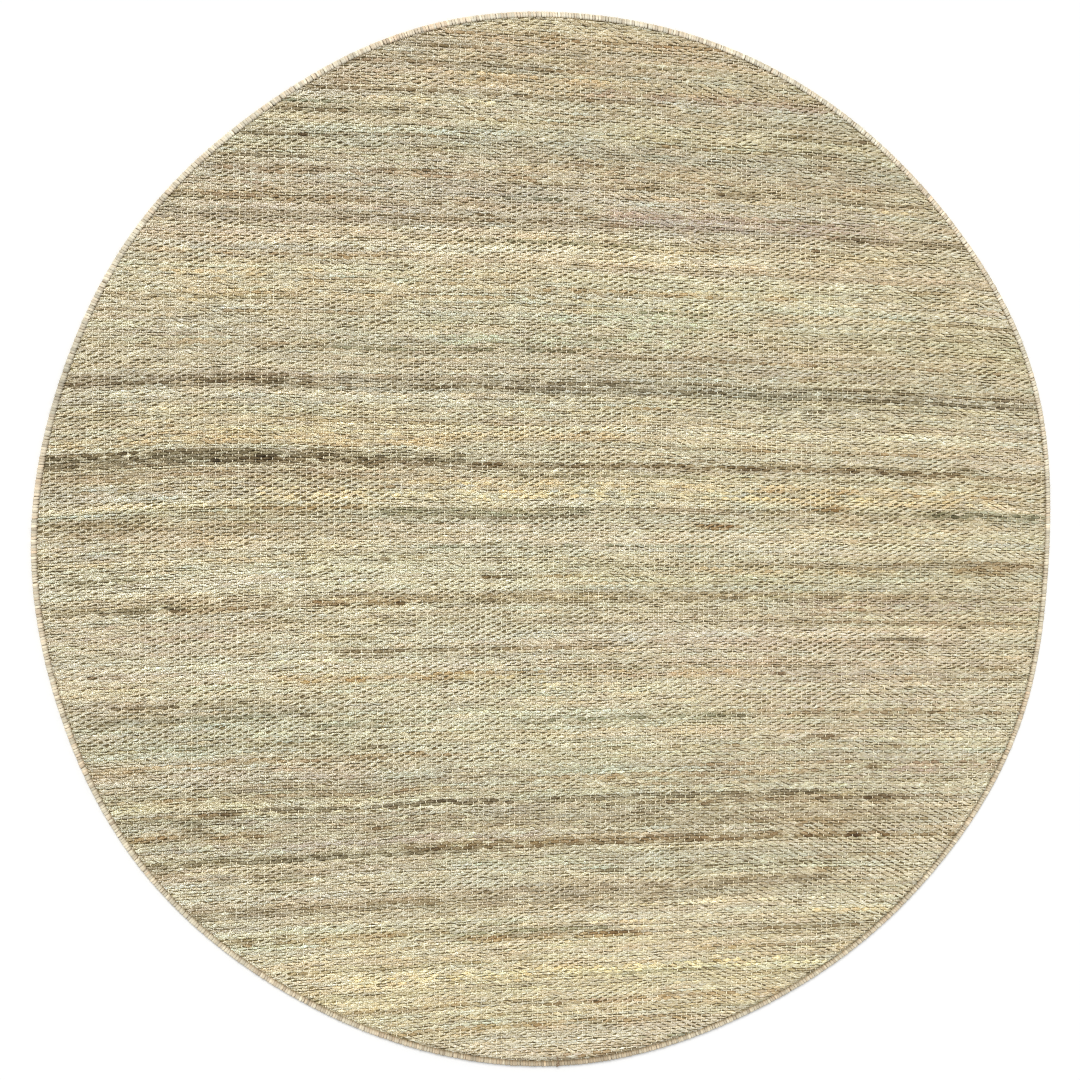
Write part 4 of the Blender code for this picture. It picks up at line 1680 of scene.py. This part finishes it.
    def unrolled(self, angles: Array, run: Array, stops: int) -> Array:
        """Lays the stitches side by side in rows that fill the square.

        Args:
            angles: Direction of each stitch.
            run: How far along its line each stop of a stitch is.
            stops: How many stops a stitch has.

        Returns:
            Two shares from 0 to 1 for each corner.
        """
        column = math.ceil(len(angles) / self.sheet_lines)
        number = np.arange(len(angles))
        places = np.empty((len(angles), stops, 3, 2))
        wide, tall = 1.0 / column, 1.0 / self.sheet_lines
        beside, below = self.sheet_margins
        for side in range(3):
            across = beside + (0.5 - beside) * side
            places[:, :, side, 0] = ((number % column) * wide + wide * across)[:, None]
        upward = below + (1.0 - 2.0 * below) * run / run[-1]
        up = (number // column)[:, None] * tall + tall * upward[None, :]
        places[..., 1] = up[..., None]
        return places.reshape(-1, 2)

    def build_core(self, material: Material) -> bpy.types.Object:
        """Makes the padded core under the stitches.

        Args:
            material: The binding yarn.

        Returns:
            The core.
        """
        spokes, stops = self.core_spokes, len(self.core)
        angles = np.arange(spokes) * FULL_TURN / spokes
        corners = np.empty((spokes, stops, 3))
        for stop, (inset, height) in enumerate(self.core):
            x, y = self.outline.point(angles, np.full(spokes, inset))
            corners[:, stop] = np.stack([x, y, np.full(spokes, height)], axis=-1)
        spoke, stop = np.meshgrid(np.arange(spokes), np.arange(stops), indexing="ij")
        after, above = (spoke + 1) % spokes, (stop + 1) % stops
        here, there = spoke * stops, after * stops
        quads = np.stack([here + stop, here + above, there + above, there + stop], axis=-1).reshape(-1, 4)
        places = corners.reshape(-1, 3)
        turn = np.repeat(angles, stops)
        level = np.tile(np.arange(stops), spokes)
        length = turn * self.core_lines / FULL_TURN
        around = np.stack([length % 1.0, (np.floor(length) + level / stops) / self.core_lines], axis=-1)
        piece = PieceMesh("overcast_core", places, quads)
        yarn = np.stack([turn * self.core_radius, level * self.core_step], axis=-1)
        piece.uv("OFBake", around).uv("Yarn", yarn)
        piece.colour("yarn_dye_and_shade", np.broadcast_to(np.array(TAN) * self.core_tone, places.shape))
        return piece.finish(material)


@dataclass
class StrayFibres:
    """Loose hairs of jute that stand off the field and the edge."""

    outline: Outline
    on_field: int = 1500
    on_edge: int = 1300
    field_reach: float = 0.885  # how far out from the rug's middle the hairs of the field grow
    edge_depth: Span = (0.4 * MM, 6.0 * MM)  # how far in from the outline those of the edge grow
    edge_turn: float = 0.7  # spread of their direction, from straight outward
    field_turn: float = 0.5  # spread of the others', from the weft's
    curl: float = 0.9
    length: Span = (3.0, 9.0)  # shortest and longest, in millimetres
    edge_share: float = 0.55  # length at the edge, as a share of that
    edge_lift: Span = (-2.0, 1.0)  # how far they rise, in millimetres
    field_lift: Span = (0.3, 1.4)
    outer: float = 1.5 * MM  # depth of the edge's rounded outer side
    outer_height: float = 5.2 * MM  # heights at which hairs start: on that side
    edge_height: float = 7.6 * MM  # on top of the edge
    field_height: float = 6.4 * MM  # on the field
    bend: float = 2.2  # how far round a hair bends on its way up and down, in radians
    uneven_tone: float = 0.15
    stops: int = 4
    half_width: float = 0.075 * MM
    jute: Colour = (0.66, 0.57, 0.40)
    seed: int = 47

    def build(self, material: Material) -> bpy.types.Object:
        """Makes every hair as one mesh of thin ribbons.

        Args:
            material: The jute.

        Returns:
            The hairs.
        """
        rng = np.random.default_rng(self.seed)
        count = self.on_field + self.on_edge
        angle = rng.uniform(0.0, FULL_TURN, count)
        edge = np.arange(count) >= self.on_field
        depth = np.where(edge, rng.uniform(*self.edge_depth, count), 0.0)
        inner = self.field_reach * np.sqrt(rng.random(count))
        root_x, root_y = self.outline.point(angle, depth)
        root_x = np.where(edge, root_x, inner * np.cos(angle))
        root_y = np.where(edge, root_y, inner * np.sin(angle))
        outward = angle + rng.normal(0.0, self.edge_turn, count)
        heading = np.where(edge, outward, rng.normal(0.0, self.field_turn, count))
        length = rng.uniform(*self.length, count) * MM * np.where(edge, self.edge_share, 1.0)
        curl = rng.normal(0.0, self.curl, count)
        lift = np.where(edge, rng.uniform(*self.edge_lift, count), rng.uniform(*self.field_lift, count)) * MM
        base = np.where(depth < self.outer, self.outer_height, self.edge_height)
        base = np.where(edge, base, self.field_height)
        share = np.linspace(0.0, 1.0, self.stops)[None, :]
        turn = heading[:, None] + curl[:, None] * share
        reach = length[:, None] * share
        x = root_x[:, None] + reach * np.cos(turn)
        y = root_y[:, None] + reach * np.sin(turn)
        z = base[:, None] + lift[:, None] * np.sin(share * self.bend)
        half = self.half_width * (1.15 - share)
        corners = np.empty((count, self.stops, 2, 3))
        for side, sign in enumerate((-1.0, 1.0)):
            corners[:, :, side, 0] = x - sign * half * np.sin(turn)
            corners[:, :, side, 1] = y + sign * half * np.cos(turn)
            corners[:, :, side, 2] = z
        grid = np.arange(self.stops - 1)[:, None] * 2
        quad = (grid + np.array([0, 2, 3, 1])).reshape(-1, 4)
        quads = (np.arange(count)[:, None, None] * self.stops * 2 + quad).reshape(-1, 4)
        places = corners.reshape(-1, 3)
        tint = np.array(self.jute) * np.exp(self.uneven_tone * rng.standard_normal((count, 1)))
        piece = PieceMesh("stray_fibres", places, quads)
        piece.uv("OFBake", bake_places(places)).uv("Yarn", places[:, :2])
        piece.colour("yarn_dye_and_shade", np.repeat(tint, self.stops * 2, axis=0))
        return piece.finish(material)


@dataclass
class EdgeKnot:
    """The small brown knot where the overcasting yarn was tied off, with its two tails."""

    outline: Outline
    angle: float = math.radians(-91.1)
    inset: float = 4.4 * MM
    radius: float = 0.75 * MM  # of the yarn
    tip: float = 0.6  # share of that radius at a line's ends
    sides: int = 8
    brown: Colour = (0.25, 0.165, 0.10)
    # Lines, in millimetres outward, along and up from the edge: half sizes of the loop, and the two tails
    loop: Cell = (2.6, 2.2, 0.5)
    loop_height: float = 8.1
    loop_stops: int = 15
    near: tuple[Cell, ...] = ((-1.6, 0.4, 8.5), (-6.0, 1.2, 8.4), (-10.5, -0.8, 7.9), (-15.5, -2.6, 7.5))
    far: tuple[Cell, ...] = ((1.2, -0.4, 8.6), (3.0, -1.1, 8.0), (4.4, -0.6, 6.0), (5.0, -1.4, 3.6))

    def lines(self) -> list[list[Vector]]:
        """Middle lines of the loop and the two tails, in metres outward, along and up from the edge.

        Returns:
            The points of each line.
        """
        wide, long, tall = self.loop
        high = self.loop_height
        loop = [
            Vector((wide * math.cos(turn), long * math.sin(turn), high + tall * math.sin(2 * turn))) * MM
            for turn in np.linspace(0.0, FULL_TURN, self.loop_stops)
        ]
        return [loop, *([Vector(point) * MM for point in tail] for tail in (self.near, self.far))]

    def build(self, material: Material) -> bpy.types.Object:
        """Makes the knot as one mesh of tubes.

        Args:
            material: The binding yarn.

        Returns:
            The knot.
        """
        out = Vector((math.cos(self.angle), math.sin(self.angle), 0.0))
        along = Vector((-out.y, out.x, 0.0))
        x, y = self.outline.point(np.array([self.angle]), np.array([self.inset]))
        root = Vector((float(x[0]), float(y[0]), 0.0))
        corners, quads = [], []
        for line in self.lines():
            points = [root + out * p.x + along * p.y + Vector((0.0, 0.0, p.z)) for p in line]
            first = len(corners)
            for stop, point in enumerate(points):
                ahead = points[min(stop + 1, len(points) - 1)] - points[max(stop - 1, 0)]
                across = ahead.cross(Vector((0.0, 0.0, 1.0))).normalized()
                upward = across.cross(ahead).normalized()
                size = self.radius * (1.0 if 0 < stop < len(points) - 1 else self.tip)
                for side in range(self.sides):
                    turn = side * FULL_TURN / self.sides
                    corners.append(point + (across * math.cos(turn) + upward * math.sin(turn)) * size)
            for stop in range(len(points) - 1):
                for side in range(self.sides):
                    here = first + stop * self.sides
                    there, after = here + self.sides, (side + 1) % self.sides
                    quads.append((here + side, here + after, there + after, there + side))
        places = np.array([tuple(corner) for corner in corners])
        piece = PieceMesh("edge_knot", places, np.array(quads))
        piece.uv("OFBake", bake_places(places)).uv("Yarn", places[:, :2])
        piece.colour("yarn_dye_and_shade", np.broadcast_to(np.array(self.brown), places.shape))
        return piece.finish(material)


@dataclass
class Rug:
    """The whole rug: ground cloth, weft, warp, overcast edge, knot and hairs."""

    outline: Outline
    # groove and gap give the painted shade at the floats' sides and by their ends
    jute: YarnFinish = YarnFinish("jute_weft", grain=0.52, groove=0.88, gap=0.30)
    cotton: YarnFinish = YarnFinish(
        "cotton_warp", fibre=(0.006, 0.0002, 1.0), contrast=0.08, bundle_contrast=0.12, fleck=0.9
    )
    binding: YarnFinish = YarnFinish("binding_yarn", fibre=(0.007, 0.00025, 1.0), twist=24.0, contrast=0.14)
    ground: GroundFinish = GroundFinish("ground_weave_gap_shade")
    steps: int = 720  # directions in which the outline is measured

    def build(self) -> None:
        """Builds every piece and hides the CAD field and binding."""
        loom = Loom(self.outline)
        LOG.info("loom: %d rows, %d warps", len(loom.rows), len(loom.warps))
        jute, cotton, binding = (finish.material() for finish in (self.jute, self.cotton, self.binding))
        cloth = GroundCloth(self.outline).build(self.ground.material())
        weft = WeftYarns(loom, WeftDye(loom).paint()).build(jute)
        warp = WarpDashes(loom).build(cotton)
        overcast = Overcast(self.outline)
        stitches, core = overcast.build_stitches(binding), overcast.build_core(binding)
        knot = EdgeKnot(self.outline).build(binding)
        hairs = StrayFibres(self.outline).build(jute)
        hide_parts("rug_field")
        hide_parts("edge_binding")
        turns = np.linspace(0.0, FULL_TURN, self.steps + 1)[:-1]
        area = float(np.sum(self.outline.radius(turns) ** 2) * FULL_TURN / self.steps / 2)


@dataclass
class Studio:
    """A plain white floor, an even soft light and the camera that took the photo."""

    floor_reach: float = 6.0
    floor_stops: int = 13  # corners along each side of the floor
    sky: Colour = (0.96, 0.98, 1.0)
    sky_strength: float = 0.62
    sun_strength: float = 2.35
    sun_colour: Colour = (1.0, 0.985, 0.96)
    sun_distance: float = 4.0
    sun_spread: float = 30.0  # how soft the shadows are, degrees
    sun_height: float = 52.0  # degrees above the floor
    sun_side: float = 112.0  # where it comes from, degrees from +X
    lens: float = 60.0
    sensor: float = 36.0
    aim: tuple[float, float, float] = (-0.0593, 0.0116, 0.0)
    distance: float = 3.075
    tilt: float = 13.6  # off straight down, degrees
    heading: float = -12.05  # which way it leans, degrees from +X
    roll: float = -0.74
    sharpness: float = 1.0  # width of the pixel filter, for a photo as crisp as this one

    def build_floor(self) -> None:
        """Makes the floor."""
        count = self.floor_stops
        side = np.linspace(-self.floor_reach, self.floor_reach, count)
        grid_x, grid_y = np.meshgrid(side, side)
        corners = np.stack([grid_x.ravel(), grid_y.ravel(), np.zeros(count * count)], axis=-1)
        row, column = np.meshgrid(np.arange(count - 1), np.arange(count - 1), indexing="ij")
        first = (row * count + column).ravel()
        quads = np.stack([first, first + 1, first + count + 1, first + count], axis=-1)
        mesh = bpy.data.meshes.new("studio_floor")
        mesh.from_pydata(corners.tolist(), [], quads.tolist())
        mesh.materials.append(FloorFinish("floor_white").material())
        floor = bpy.data.objects.new("studio_floor", mesh)
        bpy.context.scene.collection.objects.link(floor)

    def build_light(self) -> None:
        """Sets the sky and one broad soft sun."""
        world = bpy.data.worlds.new("studio_sky")
        world.use_nodes = True
        back = world.node_tree.nodes["Background"]
        back.inputs["Color"].default_value = (*self.sky, 1.0)
        back.inputs["Strength"].default_value = self.sky_strength
        bpy.context.scene.world = world
        light = bpy.data.lights.new("soft_sun", "SUN")
        light.energy = self.sun_strength
        light.angle = math.radians(self.sun_spread)
        light.color = self.sun_colour
        lamp = bpy.data.objects.new("soft_sun", light)
        height, side = math.radians(self.sun_height), math.radians(self.sun_side)
        flat = math.cos(height)
        towards = Vector((math.cos(side) * flat, math.sin(side) * flat, math.sin(height)))
        lamp.rotation_mode = "QUATERNION"
        lamp.rotation_quaternion = towards.to_track_quat("Z", "Y")
        lamp.location = towards * self.sun_distance
        bpy.context.scene.collection.objects.link(lamp)

    def build_camera(self) -> None:
        """Places the camera as it stood for the photo, a little left of the rug's middle."""
        tilt, heading, roll = (math.radians(value) for value in (self.tilt, self.heading, self.roll))
        flat = math.sin(tilt)
        view = Vector((flat * math.cos(heading), flat * math.sin(heading), -math.cos(tilt)))
        right = view.cross(Vector((0.0, 1.0, 0.0))).normalized()
        up = right.cross(view)
        right, up = right * math.cos(roll) - up * math.sin(roll), up * math.cos(roll) + right * math.sin(roll)
        data = bpy.data.cameras.new("photo_camera")
        data.lens = self.lens
        data.sensor_width = self.sensor
        camera = bpy.data.objects.new("photo_camera", data)
        turn = Matrix((right, up, -view)).transposed().to_4x4()
        camera.matrix_world = Matrix.Translation(Vector(self.aim) - view * self.distance) @ turn
        bpy.context.scene.collection.objects.link(camera)
        bpy.context.scene.camera = camera

    def build(self) -> None:
        """Builds the studio."""
        self.build_floor()
        self.build_light()
        self.build_camera()
        bpy.context.scene.view_settings.view_transform = "Standard"
        bpy.context.scene.cycles.filter_width = self.sharpness
        bpy.context.scene.cycles.denoising_prefilter = "NONE"  # or the denoiser smears the fibres


def main() -> None:
    """Builds the studio and the rug."""
    logging.basicConfig(level=logging.INFO, format="%(message)s")
    Studio().build()
    Rug(Outline(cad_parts["edge_binding"])).build()


if __name__ == "__main__":
    main()
